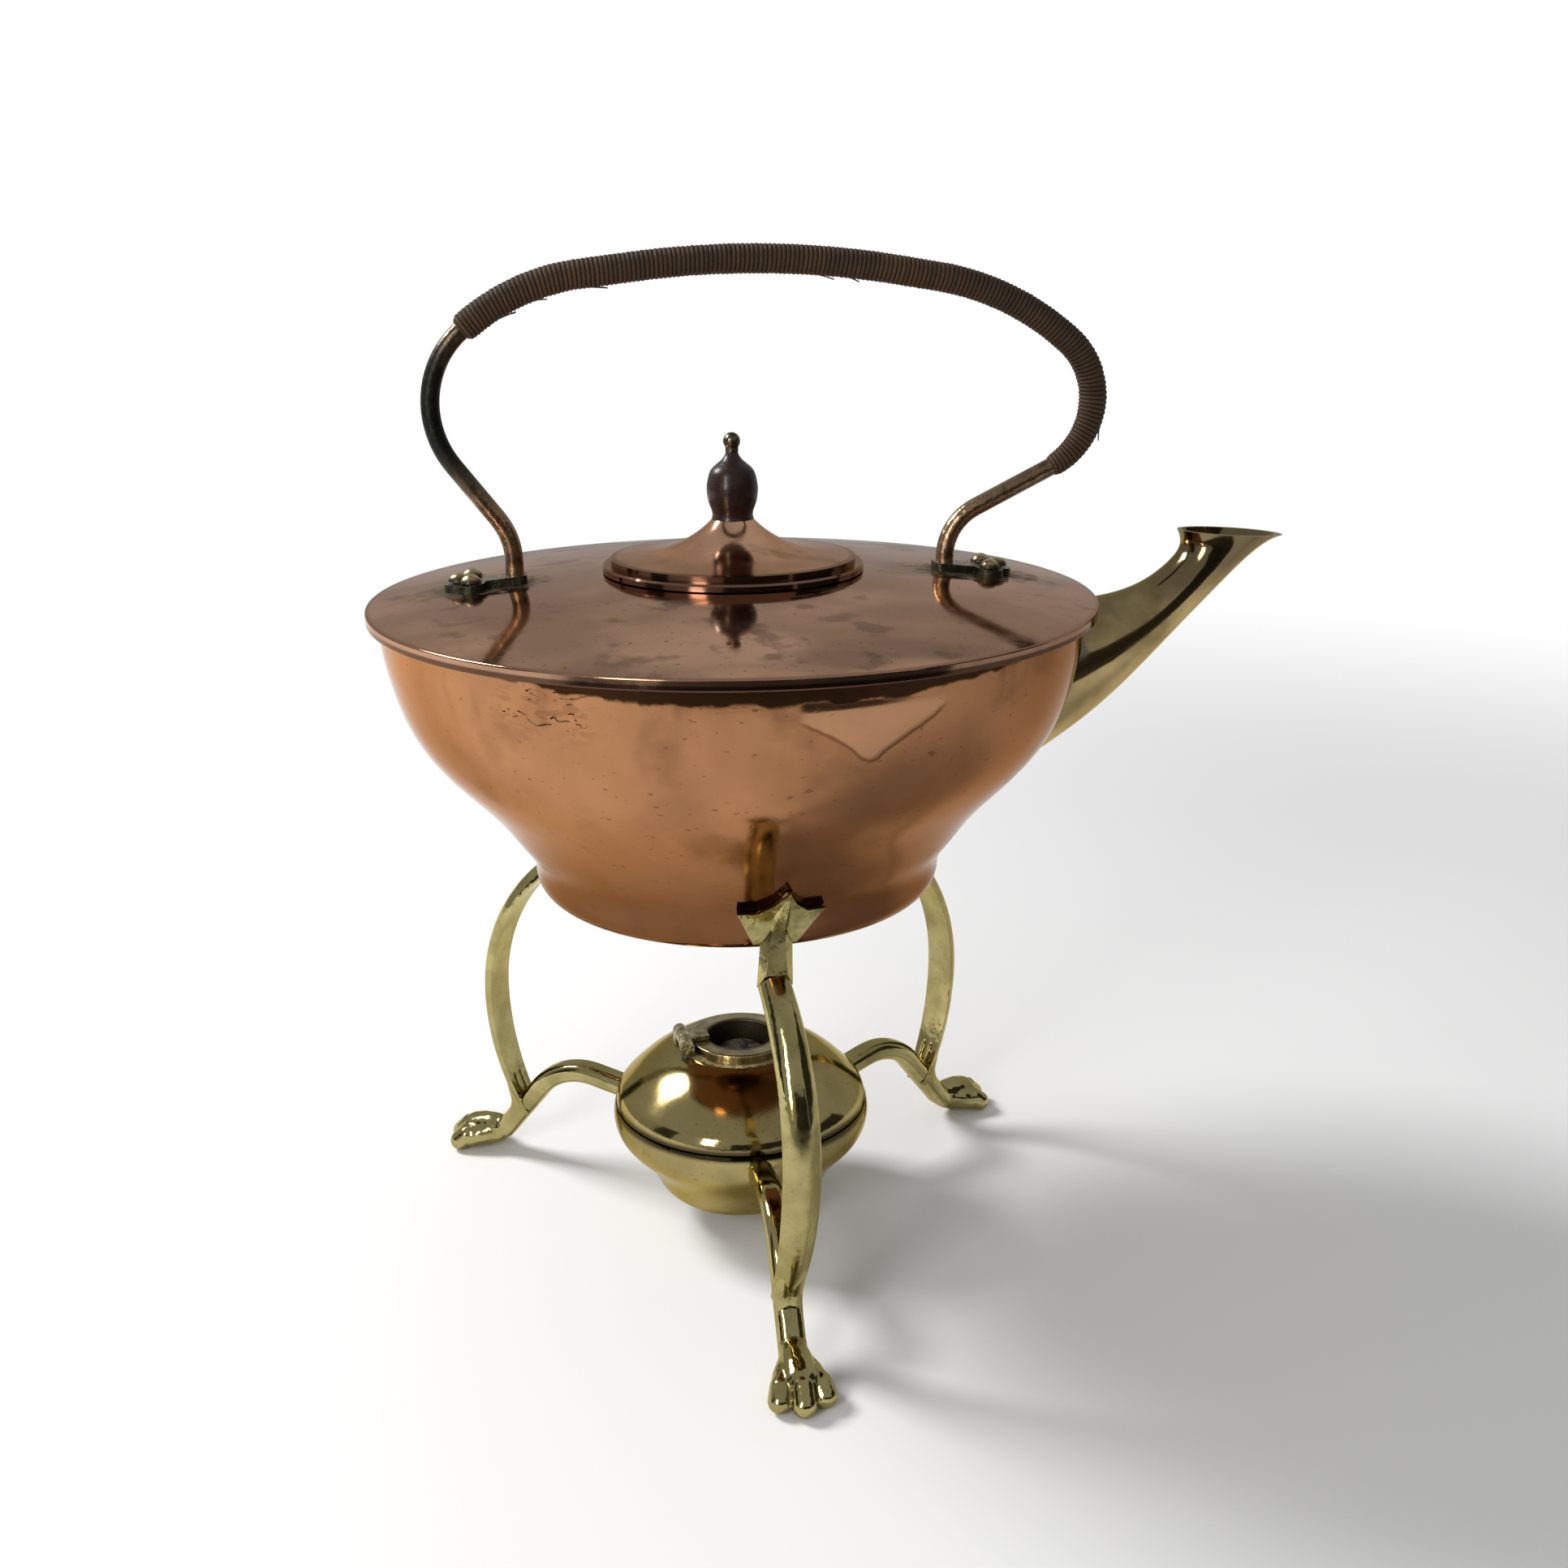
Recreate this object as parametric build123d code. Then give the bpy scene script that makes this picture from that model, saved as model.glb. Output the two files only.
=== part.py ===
from build123d import *
import os
from math import cos, hypot, radians, sin, sqrt

# Spirit kettle on a three-legged stand, millimetres.
# While it is drawn, the kettle's axis is Z, the floor is z = 0, the spout points along +X
# and the front leg stands at -Y. At the end everything is moved together, so that the
# origin is under the middle of the whole object.

# ---- overall sizes ----
RIM_RADIUS = 105.0          # edge of the kettle's top plate
BASE_HEIGHT = 114.0         # underside of the kettle above the floor
BODY_DEPTH = 88.4           # from the kettle's underside to the top plate's edge
LEG_BOW_RADIUS = 94.0       # outermost reach of the bowed legs
LEG_BOW_HEIGHT = 60.0       # height of that outermost point
TOE_RADIUS = 111.6          # reach of the middle toes

# ---- kettle bowl and top plate ----
COPPER = 1.2                # wall of the bowl
PLATE = 1.1                 # thickness of the top plate
PLATE_CROWN_RADIUS = 664.0  # sphere that the top plate is dished to
PLATE_OVERHANG = 3.1        # how far the plate's edge stands out from the bowl
LIP_DEPTH = 3.2             # height of the folded edge
LIP_ROUND = 0.5             # rounding of the folded edge
BASE_RADIUS = 61.0          # bowl just above its base corner
BASE_CORNER = 7.4           # radius of the base corner
SEAM_DROP = 2.4             # upper end of the bowl's curve below the plate's edge
# bowl wall above the base corner: share of the curve's height, share of the mouth radius
BOWL_CURVE = ((0.21, 0.644), (0.302, 0.699), (0.395, 0.766), (0.488, 0.841),
              (0.581, 0.902), (0.698, 0.950), (0.837, 0.982), (1.0, 1.0))
OFFSET_STEPS = 12           # points along a curve that is drawn beside another
SEAM_FIT = 0.2              # gap between the bowl's flange and the folded edge
STRAINER_HOLE = 2.5         # radius of each strainer hole behind the spout
STRAINER_PITCH = 8.0        # spacing of the strainer holes
STRAINER_HEIGHT = 172.0     # height of the middle hole

# ---- lid ----
OPENING_RADIUS = 33.0       # lid opening in the top plate
OPENING_TURN = 4.0          # depth of its turned-down edge
LID_RADIUS = 37.8           # outer edge of the lid
LID_SHEET = 1.1             # thickness of the lid
LID_STEP = 2.0              # height of each step of its edge
LID_TREADS = (0.4, 2.0, 1.9)  # how far in each step of its edge goes
# curve from the steps up to the neck: share of the lid's radius, height above the steps
LID_SWEEP = ((0.66, 1.0), (0.47, 2.7), (0.32, 5.4))
LID_NECK_RADIUS = 6.0       # flat top under the knob
LID_RISE = 14.4             # from the lid's edge up to that flat top
LID_GAP = 0.3               # lid edge above the plate
BEZEL_FIT = 0.5             # bezel inside the opening, radial
BEZEL_WALL = 1.0
BEZEL_DEPTH = 8.0           # length of the bezel
STUD_RADIUS = 1.5           # rod through the knob
STUD_FIT = 0.2              # rod in the lid's hole, radial
KNOB_HEIGHT = 18.8
KNOB_RADIUS = 7.35
FINIAL_RADIUS = 2.45        # ball on top of the knob
FINIAL_NECK_RADIUS = 1.85   # short neck under the ball
FINIAL_NECK = 0.75
WASHER_RADIUS = 5.0
WASHER_THICKNESS = 0.8
NUT_ACROSS_FLATS = 6.0
NUT_THICKNESS = 2.4
STUD_END = 1.2              # rod past the nut
THREAD_FIT = 0.05           # rod in the knob and the nut, radial
# knob: share of its height, share of its radius
KNOB_CURVE = ((0, 0.83), (0.12, 0.815), (0.24, 0.925), (0.37, 0.99), (0.49, 1.0),
              (0.61, 0.95), (0.74, 0.83), (0.86, 0.50), (1.0, 0.24))

# ---- handle ----
BAR_RADIUS = 2.6            # metal hoop
WRAP_RADIUS = 4.2           # over the wrapping
HANDLE_FOOT_X = 62.8        # the hoop's ends, either side of the axis
# corners of the hoop's centre line: x, height above the plate's edge, and the bend there;
# the first and the last stand over the hoop's ends, so they have no x of their own
HOOP_CORNERS = ((18.4, 20.0), (-93.4, 58.6, 26.7), (-59.2, 87.4, 62.0), (10.9, 96.0, 264.0),
                (80.8, 84.9, 80.0), (123.2, 49.35, 21.5), (19.1, 16.0))
WRAP_FIRST = 4              # the wrapping covers the hoop's runs and bends from this one
WRAP_LAST = 11              # to this one, counted from the rear end
FOOT_LENGTH = 20.0          # handle foot, from the hoop outwards
FOOT_HEEL = 3.4             # and inwards
FOOT_THICKNESS = 2.2
FOOT_TONGUE = 8.6           # width of the part under the hoop
FOOT_CORNER = 2.0
FOOT_LOBE = 4.1             # radius of each of its three lobes
FOOT_LOBE_SPREAD = 5.3      # side lobes from the middle
FOOT_LOBE_SETBACK = 3.6     # side lobes behind the end one
RIVET_HEAD = 3.0            # radius of a rivet's head
RIVET_HEAD_HEIGHT = 2.4
RIVET_RADIUS = 1.4
RIVET_TAIL = 2.2            # radius of its closed end under the plate
RIVET_TAIL_HEIGHT = 0.8
RIVET_FIT = 0.05            # rivet in its hole, radial

# ---- spout ----
SPOUT_WALL = 1.1
# stations along the spout: top point and bottom point (x from the rim, height above the
# plate's edge), and half the width across
SPOUT_STATIONS = (((-35.0, -6.4), (-35.0, -68.4), 18.0),
                  ((-21.0, -5.9), (-21.0, -57.4), 17.0),
                  ((-1.0, -5.2), (-1.0, -43.4), 14.5),
                  ((11.0, -3.3), (19.0, -25.8), 11.5),
                  ((22.3, 1.3), (34.0, -10.4), 9.0),
                  ((28.1, 6.0), (44.7, 0.6), 8.5),
                  ((30.8, 10.9), (55.3, 10.2), 9.0),
                  ((29.5, 15.3), (62.0, 13.2), 9.6))
SPOUT_TRIM = 0.6            # how far the bore runs past the mouth

# ---- stand ----
# direction of each leg, degrees from +X; the stand is hand-made and not quite even
LEG_ANGLES = {"front": 272.2, "right": 31.6, "left": 148.8}
# how far each bow is turned sideways about the line from the leg's foot to its top
LEG_LEANS = {"front": 11.0, "right": 0.0, "left": 0.0}
LEG_WIDTH = 11.0            # across the half-round bar at the bow
LEG_THICKNESS = 4.9
LEG_TOP_WIDTH = 9.2
LEG_TOP_THICKNESS = 4.7
LEG_ANKLE_WIDTH = 7.8
LEG_ANKLE_THICKNESS = 4.2
LEG_FLAT_SIDE = 0.12        # share of the thickness that its sides are flat
ANKLE_RADIUS = 80.0         # centre of the leg's lower end, in the strut
ANKLE_HEIGHT = 17.0
LEG_TOP_DROP = 5.1          # centre of the leg's top end below the kettle's underside
LEG_TOP_OUT = 6.2           # and out from the bowl just above its base corner
LEAF_GAP = 0.3              # leaf from the bowl
LEAF_SHEET = 1.8
LEAF_SPAN = 24.6            # across the two side points
LEAF_LEAN = 3.8             # the leaf leans, so its middle point is this far to one side
LEAF_POINT_HEIGHT = 13.5    # side points above the kettle's underside
LEAF_APEX_HEIGHT = 20.6     # middle point above the kettle's underside
LEAF_LOW_HEIGHT = 3.7       # where the leaf's lower edges start
LEAF_WAIST = 12.0           # its width there
# between the side points and the middle one: share of half the span, share of that rise
LEAF_NOTCH = ((0.56, 0.0), (0.25, 0.4))
LEAF_STEP = 0.8             # stem wider and deeper than the leg that it ends
STEM_TAPER = 0.6            # stem's outer side as a share of its width at the foot
RIDGE_TAPER = 0.4           # and higher up
RIDGE_SINK = 0.3            # share of the ridge's depth from the bowl to its middle
# ridge of the leaf: share of its height, share of the stem's width and of its depth
LEAF_RIDGE = ((0.40, 0.85, 0.55), (1.0, 0.18, 0.30))
STRUT_WIDTH = 8.0
STRUT_DEPTH = 6.8
STRUT_CORNER = 3.0
STRUT_START_HEIGHT = 33.6   # centre of the strut at the cup
STRUT_ARCH_RADIUS = 66.0    # corner of the strut's centre line, before rounding
STRUT_ARCH_HEIGHT = 38.2
STRUT_ARCH_BEND = 22.0
HEEL_RADIUS = 94.0          # corner where the strut's line meets the foot's line
HEEL_BEND = 14.0
TOE_BALL = 3.1              # radius of a toe
TOE_SPREAD = 5.6            # side toes from the middle one
TOE_SETBACK = 3.4           # side toes behind the middle one
TOE_FLAT = 0.25             # taken off under each toe
TOE_LENGTH = 6.5            # from knuckle to tip
TOE_RISE = 4.2              # knuckle above the tip
KNUCKLE_SPREAD = 4.2
INSTEP_RADIUS = 6.5
INSTEP_HEIGHT = 6.0         # centre of the instep above the floor
# instep: distance out from the heel, share of its radius
INSTEP_CURVE = ((-2.0, 0.0), (0.5, 0.55), (5.0, 0.88), (9.5, 1.0), (13.0, 0.84), (15.6, 0.0))

# ---- lamp ----
CUP_RADIUS = 40.6
CUP_HEIGHT = 39.6           # rim above the floor
CUP_BASE_HEIGHT = 9.5
CUP_BASE_RADIUS = 22.0
CUP_WALL = 1.3
# cup wall: share of its height, share of its radius
CUP_CURVE = ((0.03, 0.606), (0.28, 0.724), (0.42, 0.798), (0.55, 0.887),
             (0.68, 0.963), (0.83, 1.0), (0.93, 1.0), (1.0, 0.987))
LAMP_FIT = 0.6              # reservoir inside the cup
LAMP_WALL = 0.9
DOME_EDGE_RADIUS = 39.8
DOME_EDGE_GAP = 0.5         # dome's edge above the cup's rim
DOME_HEIGHT = 18.9          # from its edge to the collar
DOME_SHEET = 1.0
# cover: share of its height, share of its edge radius
DOME_CURVE = ((0.0, 1.0), (0.07, 0.995), (0.206, 0.972), (0.323, 0.925), (0.534, 0.824),
              (0.746, 0.698), (0.915, 0.553), (0.99, 0.42), (1.0, 0.30))
COLLAR_HOLE = 10.4          # radius of the opening
COLLAR_RADIUS = 15.8        # outside of the thick ring
COLLAR_ROUND = 0.6          # rounding of the ring's upper edges
COLLAR_FOOT_RADIUS = 19.0   # step under the ring
COLLAR_FOOT_HEIGHT = 0.3    # its top above the cover's crown
COLLAR_HEIGHT = 2.0         # ring's top above the cover's crown
COLLAR_SKIRT = 8.0          # from the ring's top down inside
COLLAR_SKIRT_RADIUS = 13.0  # hole in the cover
COLLAR_FIT = 0.1            # skirt in that hole, radial
TUBE_RADIUS = 7.6
TUBE_WALL = 0.7
TUBE_DROP = 6.5             # top of the wick tube below the collar's top
TUBE_LENGTH = 26.0
TUBE_FIT = 0.1              # its flange in the collar, radial
WICK_FIT = 0.1
WICK_RISE = 1.5             # wick above its tube
WICK_LENGTH = 42.0
HINGE_ANGLE = 187.0         # where the snuffer's hinge stands on the collar
BARREL_RADIUS = 2.1
BARREL_CLEARANCE = 0.3      # barrel from the collar's ring and step
PIN_RADIUS = 0.9
PIN_FIT = 0.06              # running clearance of the moving knuckle, radial
PIN_HOLD = 0.02             # pin in the fixed knuckles, radial
PIN_END = 0.3               # pin past each fixed knuckle
KNUCKLE = 4.4               # length of each knuckle
KNUCKLE_GAP = 0.25
ARM_THICKNESS = 1.5
ARM_GAP = 0.25              # arm above the ring

# ---- places worked out from the sizes ----
RIM_HEIGHT = BASE_HEIGHT + BODY_DEPTH
MOUTH_RADIUS = RIM_RADIUS - PLATE_OVERHANG
LEG_CENTRE_BOW = LEG_BOW_RADIUS - LEG_THICKNESS / 2
LEG_TOP = (BASE_RADIUS + LEG_TOP_OUT, BASE_HEIGHT - LEG_TOP_DROP)
DOME_EDGE_HEIGHT = CUP_HEIGHT + DOME_EDGE_GAP
DOME_CROWN = DOME_EDGE_HEIGHT + DOME_HEIGHT
COLLAR_TOP = DOME_CROWN + COLLAR_HEIGHT
COLLAR_FOOT_TOP = DOME_CROWN + COLLAR_FOOT_HEIGHT
HINGE_OUT = COLLAR_RADIUS + BARREL_CLEARANCE + BARREL_RADIUS
HINGE_HEIGHT = COLLAR_FOOT_TOP + BARREL_CLEARANCE + BARREL_RADIUS


def at(radius, height):
    """A point of a profile that is turned about the Z axis."""
    return Vector(radius, 0, height)


def chain(*points):
    """Straight lines through profile points."""
    return Polyline(*[at(*p) for p in points])


def closed(*lines):
    """Flat face inside lines that meet end to end."""
    return make_face([edge for line in lines for edge in line.edges()])


def turned(*lines):
    """Solid of revolution about Z of a closed profile."""
    return revolve(closed(*lines), Axis.Z, 360)


def disc(radius, low, high):
    return Pos(0, 0, (low + high) / 2) * Cylinder(radius, high - low)


def ring(outer, inner, low, high):
    return disc(outer, low, high) - disc(inner, low - 1, high + 1)


def offset_points(curve, distance, count):
    """Points beside a profile curve, to the right of its direction."""
    points = []
    for step in range(count + 1):
        share = step / count
        along = curve % share
        side = Vector(along.Z, 0, -along.X).normalized()
        points.append((curve @ share) + side * distance)
    return points


def placed(shape, angle):
    return Rot(0, 0, angle) * shape


# ---- shared shapes of the kettle ----
def plate_height(radius, below=0.0):
    """Height of the dished top plate's upper face, or of a level under it."""
    rise = sqrt(PLATE_CROWN_RADIUS ** 2 - radius ** 2) - sqrt(PLATE_CROWN_RADIUS ** 2 - RIM_RADIUS ** 2)
    return RIM_HEIGHT + rise - below


def under_plate(below):
    """Everything under the dished plate, or under the same dish lower down."""
    reach = 2 * RIM_RADIUS
    centre = plate_height(0, below) - PLATE_CROWN_RADIUS
    ball = Pos(0, 0, centre) * Sphere(PLATE_CROWN_RADIUS)
    return ball & disc(reach, 0, RIM_HEIGHT + BODY_DEPTH)


def bowl_wall():
    """Outer line of the bowl from its base corner up to the mouth."""
    start = at(BASE_RADIUS, BASE_HEIGHT + BASE_CORNER)
    rise = BODY_DEPTH - SEAM_DROP
    points = [at(share * MOUTH_RADIUS, BASE_HEIGHT + up * rise) for up, share in BOWL_CURVE]
    return Spline(start, *points, tangents=(Vector(0, 0, 1), Vector(0.09, 0, 1)))


def bowl_solid(grow, top):
    """The bowl's outer shape, solid, grown by a distance and carried up to a height."""
    wall = bowl_wall()
    if grow:
        wall = Spline(*offset_points(wall, grow, OFFSET_STEPS))
    low = wall @ 0
    high = wall @ 1
    base = BASE_HEIGHT - grow
    corner = BASE_CORNER + grow
    edge = at(low.X - corner, base)
    turn = TangentArc(edge, low, tangent=Vector(1, 0, 0))
    top_line = Polyline(high, at(high.X, top), at(0, top), at(0, base), edge)
    return turned(turn, wall, top_line)


def kettle_bowl():
    crown = plate_height(0) + 5
    under = under_plate(PLATE)
    shell = bowl_solid(0, crown) - bowl_solid(-COPPER, crown + 1)
    flange_low = RIM_HEIGHT - LIP_DEPTH + PLATE + SEAM_FIT
    flange = ring(RIM_RADIUS - PLATE - SEAM_FIT, MOUTH_RADIUS - COPPER, flange_low, crown)
    bowl = (shell + flange) & under
    for row, column in ((0, 0), (0, 1), (0, -1), (1, 0.5), (1, -0.5), (-1, 0.5), (-1, -0.5)):
        height = STRAINER_HEIGHT + row * STRAINER_PITCH * sqrt(3) / 2
        drill = Rot(0, 90, 0) * Cylinder(STRAINER_HOLE, RIM_RADIUS)
        bowl -= Pos(RIM_RADIUS, column * STRAINER_PITCH, height) * drill
    return bowl


def dish_arc(start, end, below):
    """Line of the dished plate between two radii, or of the same dish lower down."""
    radii = (start, (start + end) / 2, end)
    return ThreePointArc(*[at(radius, plate_height(radius, below)) for radius in radii])


def top_plate():
    """Dished plate with its edge and its opening turned down."""
    inner_lip = RIM_RADIUS - PLATE
    inner_turn = OPENING_RADIUS + PLATE
    upper = dish_arc(OPENING_RADIUS, RIM_RADIUS, 0)
    under = dish_arc(inner_lip, inner_turn, PLATE)
    lip_low = RIM_HEIGHT - LIP_DEPTH
    turn_low = (under @ 1).Z - OPENING_TURN
    lip = Polyline(upper @ 1, at(RIM_RADIUS, lip_low), at(inner_lip, lip_low), under @ 0)
    turn = Polyline(under @ 1, at(inner_turn, turn_low), at(OPENING_RADIUS, turn_low), upper @ 0)
    plate = turned(upper, lip, under, turn)
    folds = [e for e in plate.edges().filter_by(GeomType.CIRCLE) if e.radius > inner_lip + PLATE / 2]
    plate = fillet(folds, LIP_ROUND)
    for side in (-1, 1):
        for x, y in lobe_places(side):
            plate -= Pos(x, y, RIM_HEIGHT) * Cylinder(RIVET_RADIUS + RIVET_FIT, BODY_DEPTH)
    return plate


# ---- lid ----
LID_EDGE_HEIGHT = plate_height(LID_RADIUS) + LID_GAP
LID_TOP = LID_EDGE_HEIGHT + LID_RISE


def lid_line(drop):
    """Upper line of the lid from its edge to the neck, or the same line lower down."""
    first = LID_RADIUS - drop - LID_TREADS[0]
    second = first - LID_TREADS[1]
    third = second - LID_TREADS[2]
    low = LID_EDGE_HEIGHT - drop
    high = low + 2 * LID_STEP
    edge = chain((LID_RADIUS - drop, low), (LID_RADIUS - drop, low + 0.7 * LID_STEP), (first, low + LID_STEP),
                 (second, low + LID_STEP), (second, high - 0.1 * LID_STEP), (third, high))
    neck = at(LID_NECK_RADIUS, LID_TOP - drop)
    bends = [at(share * LID_RADIUS, high + up) for share, up in LID_SWEEP]
    sweep_in = Spline(at(third, high), *bends, neck)
    return edge, sweep_in, neck


def lid():
    edge, sweep_in, neck = lid_line(0)
    closing = Polyline(neck, at(0, neck.Z), at(0, LID_EDGE_HEIGHT), edge @ 0)
    body = turned(edge, sweep_in, closing)
    edge, sweep_in, neck = lid_line(LID_SHEET)
    closing = Polyline(neck, at(0, neck.Z), at(0, (edge @ 0).Z), edge @ 0)
    body -= turned(edge, sweep_in, closing)
    body -= disc(STUD_RADIUS + STUD_FIT, LID_EDGE_HEIGHT - 5, LID_TOP + 5)
    return body


def lid_bezel():
    outer = OPENING_RADIUS - BEZEL_FIT
    tall = ring(outer, outer - BEZEL_WALL, LID_EDGE_HEIGHT - BEZEL_DEPTH, LID_TOP)
    edge, sweep_in, neck = lid_line(LID_SHEET)
    rim = edge @ 0
    below = rim.Z - 2 * BEZEL_DEPTH
    closing = Polyline(neck, at(0, neck.Z), at(0, below), at(rim.X, below), rim)
    return tall & turned(edge, sweep_in, closing)


def lid_knob():
    points = [at(share * KNOB_RADIUS, LID_TOP + up * KNOB_HEIGHT) for up, share in KNOB_CURVE]
    closing = Polyline(points[-1], at(0, points[-1].Z), at(0, LID_TOP), points[0])
    bore = disc(STUD_RADIUS + THREAD_FIT, LID_TOP - 1, LID_TOP + KNOB_HEIGHT + 1)
    return turned(Spline(*points), closing) - bore


def knob_stud():
    """Rod through knob and lid, with the ball finial on its top."""
    low = LID_TOP - LID_SHEET - WASHER_THICKNESS - NUT_THICKNESS - STUD_END
    top = LID_TOP + KNOB_HEIGHT
    ball_height = top + FINIAL_NECK + FINIAL_RADIUS
    rod = disc(STUD_RADIUS, low, top)
    shoulder = disc(FINIAL_NECK_RADIUS, top, ball_height)
    return rod + shoulder + Pos(0, 0, ball_height) * Sphere(FINIAL_RADIUS)


def knob_washer():
    high = LID_TOP - LID_SHEET
    return ring(WASHER_RADIUS, STUD_RADIUS + STUD_FIT, high - WASHER_THICKNESS, high)


def knob_nut():
    high = LID_TOP - LID_SHEET - WASHER_THICKNESS
    sides = extrude(RegularPolygon(NUT_ACROSS_FLATS / sqrt(3), 6), NUT_THICKNESS)
    return Pos(0, 0, high - NUT_THICKNESS) * sides - disc(STUD_RADIUS + THREAD_FIT, high - 10, high + 1)


# ---- handle ----
def hoop_line():
    """Centre line of the hoop, from its rear end over to its spout end."""
    first, *middle, last = HOOP_CORNERS
    start = RIM_HEIGHT + FOOT_THICKNESS
    points = [at(-HANDLE_FOOT_X, start), at(-HANDLE_FOOT_X, RIM_HEIGHT + first[0])]
    points += [at(x, RIM_HEIGHT + up) for x, up, bend in middle]
    points += [at(HANDLE_FOOT_X, RIM_HEIGHT + last[0]), at(HANDLE_FOOT_X, start)]
    bends = [first[1]] + [bend for x, up, bend in middle] + [last[1]]
    return FilletPolyline(*points, radius=bends)


def along(edges, radius):
    """Round bar along some of the hoop's edges."""
    path = Wire(edges)
    section = Plane(path @ 0, x_dir=(0, 1, 0), z_dir=path % 0) * Circle(radius)
    return sweep(section, path=path)


def hoop_edges():
    return hoop_line().order_edges()


def handle_bar():
    bar = along(hoop_edges(), BAR_RADIUS)
    for side in (-1, 1):
        bar -= foot_room(side)
    return bar


def handle_wrap():
    wrapped = hoop_edges()[WRAP_FIRST:WRAP_LAST + 1]
    return along(wrapped, WRAP_RADIUS) - along(hoop_edges(), BAR_RADIUS)


def lobe_places(side):
    """Centres of a foot's three lobes, on the rear (-1) or spout (1) side."""
    end = HANDLE_FOOT_X + FOOT_LENGTH - FOOT_LOBE
    back = end - FOOT_LOBE_SETBACK
    return [(side * end, 0), (side * back, FOOT_LOBE_SPREAD), (side * back, -FOOT_LOBE_SPREAD)]


def foot_column(side):
    """Outline of a foot, carried up through the plate."""
    end = HANDLE_FOOT_X + FOOT_LENGTH - FOOT_LOBE
    start = HANDLE_FOOT_X - FOOT_HEEL
    tongue = RectangleRounded(end - start, FOOT_TONGUE, FOOT_CORNER)
    outline = Pos(side * (start + end) / 2, 0) * tongue
    for x, y in lobe_places(side):
        outline += Pos(x, y) * Circle(FOOT_LOBE)
    return Pos(0, 0, BASE_HEIGHT) * extrude(outline, 2 * BODY_DEPTH)


def foot_room(side):
    """Everything in the foot's outline from its upper face down."""
    return foot_column(side) & under_plate(-FOOT_THICKNESS)


def handle_foot(side):
    foot = foot_room(side) - under_plate(0)
    for x, y in lobe_places(side):
        foot -= Pos(x, y, RIM_HEIGHT) * Cylinder(RIVET_RADIUS + RIVET_FIT, BODY_DEPTH)
    return foot


def foot_rivets(side):
    """Round-headed rivets through foot and plate, closed under the plate."""
    cap_radius = (RIVET_HEAD ** 2 + RIVET_HEAD_HEIGHT ** 2) / (2 * RIVET_HEAD_HEIGHT)
    rivets = []
    for x, y in lobe_places(side):
        outer_edge = hypot(x, y) - RIVET_HEAD
        top = plate_height(outer_edge) + FOOT_THICKNESS
        low = plate_height(hypot(x, y) + RIVET_TAIL) - PLATE
        ball = Pos(0, 0, top + RIVET_HEAD_HEIGHT - cap_radius) * Sphere(cap_radius)
        head = ball & disc(RIVET_HEAD, top, top + RIVET_HEAD_HEIGHT)
        tail = disc(RIVET_TAIL, low - RIVET_TAIL_HEIGHT, low)
        rivets.append(Pos(x, y, 0) * (head + disc(RIVET_RADIUS, low, top) + tail))
    return Part() + rivets


# ---- spout ----
def spout_loft(shrink, overrun):
    """Tapering tube through the stations, made smaller all round by shrink."""
    sections = []
    count = len(SPOUT_STATIONS)
    for index, (top, bottom, half_width) in enumerate(SPOUT_STATIONS):
        high = at(RIM_RADIUS + top[0], RIM_HEIGHT + top[1])
        low = at(RIM_RADIUS + bottom[0], RIM_HEIGHT + bottom[1])
        middle = (high + low) / 2
        across = (low - high).normalized()
        half = (low - high).length / 2 - shrink
        normal = Vector(0, -1, 0).cross(across)
        if index == count - 1:
            middle += normal * overrun
        plane = Plane(middle, x_dir=across, z_dir=normal)
        sections.append(plane * Ellipse(half, half_width - shrink))
    return loft(sections)


def spout():
    tube = spout_loft(0, 0) - spout_loft(SPOUT_WALL, SPOUT_TRIM)
    edge_room = disc(RIM_RADIUS, RIM_HEIGHT - LIP_DEPTH, RIM_HEIGHT + BODY_DEPTH)
    outside = tube - bowl_solid(0, RIM_HEIGHT) - edge_room
    return outside.solids().sort_by(SortBy.VOLUME)[-1]


# ---- stand ----
def leg_line():
    """Centre line of a leg: from the bow up to its top end, and down to the ankle."""
    bow = at(LEG_CENTRE_BOW, LEG_BOW_HEIGHT)
    upper = TangentArc(bow, at(*LEG_TOP), tangent=Vector(0, 0, 1))
    lower = TangentArc(bow, at(ANKLE_RADIUS, ANKLE_HEIGHT), tangent=Vector(0, 0, -1))
    return upper, lower


def half_round(width, thickness, inward):
    """Section of a leg: flat inside, round outside; inward is +1 or -1 along its own y."""
    half = width / 2
    flat = inward * thickness / 2
    shoulder = flat - inward * thickness * LEG_FLAT_SIDE
    crown = ThreePointArc((half, shoulder), (0, -flat), (-half, shoulder))
    sides = Polyline((-half, shoulder), (-half, flat), (half, flat), (half, shoulder))
    return closed(crown, sides)


def leg_bar(path, inward, end_width, end_thickness):
    """Half of a leg, from the bow to one of its narrower ends."""
    sections = []
    for share in (0, 0.5, 1):
        taper = share ** 2
        width = LEG_WIDTH + (end_width - LEG_WIDTH) * taper
        thickness = LEG_THICKNESS + (end_thickness - LEG_THICKNESS) * taper
        plane = Plane(path @ share, x_dir=(0, 1, 0), z_dir=path % share)
        sections.append(plane * half_round(width, thickness, inward))
    return sweep(sections, path=path, multisection=True)


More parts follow.
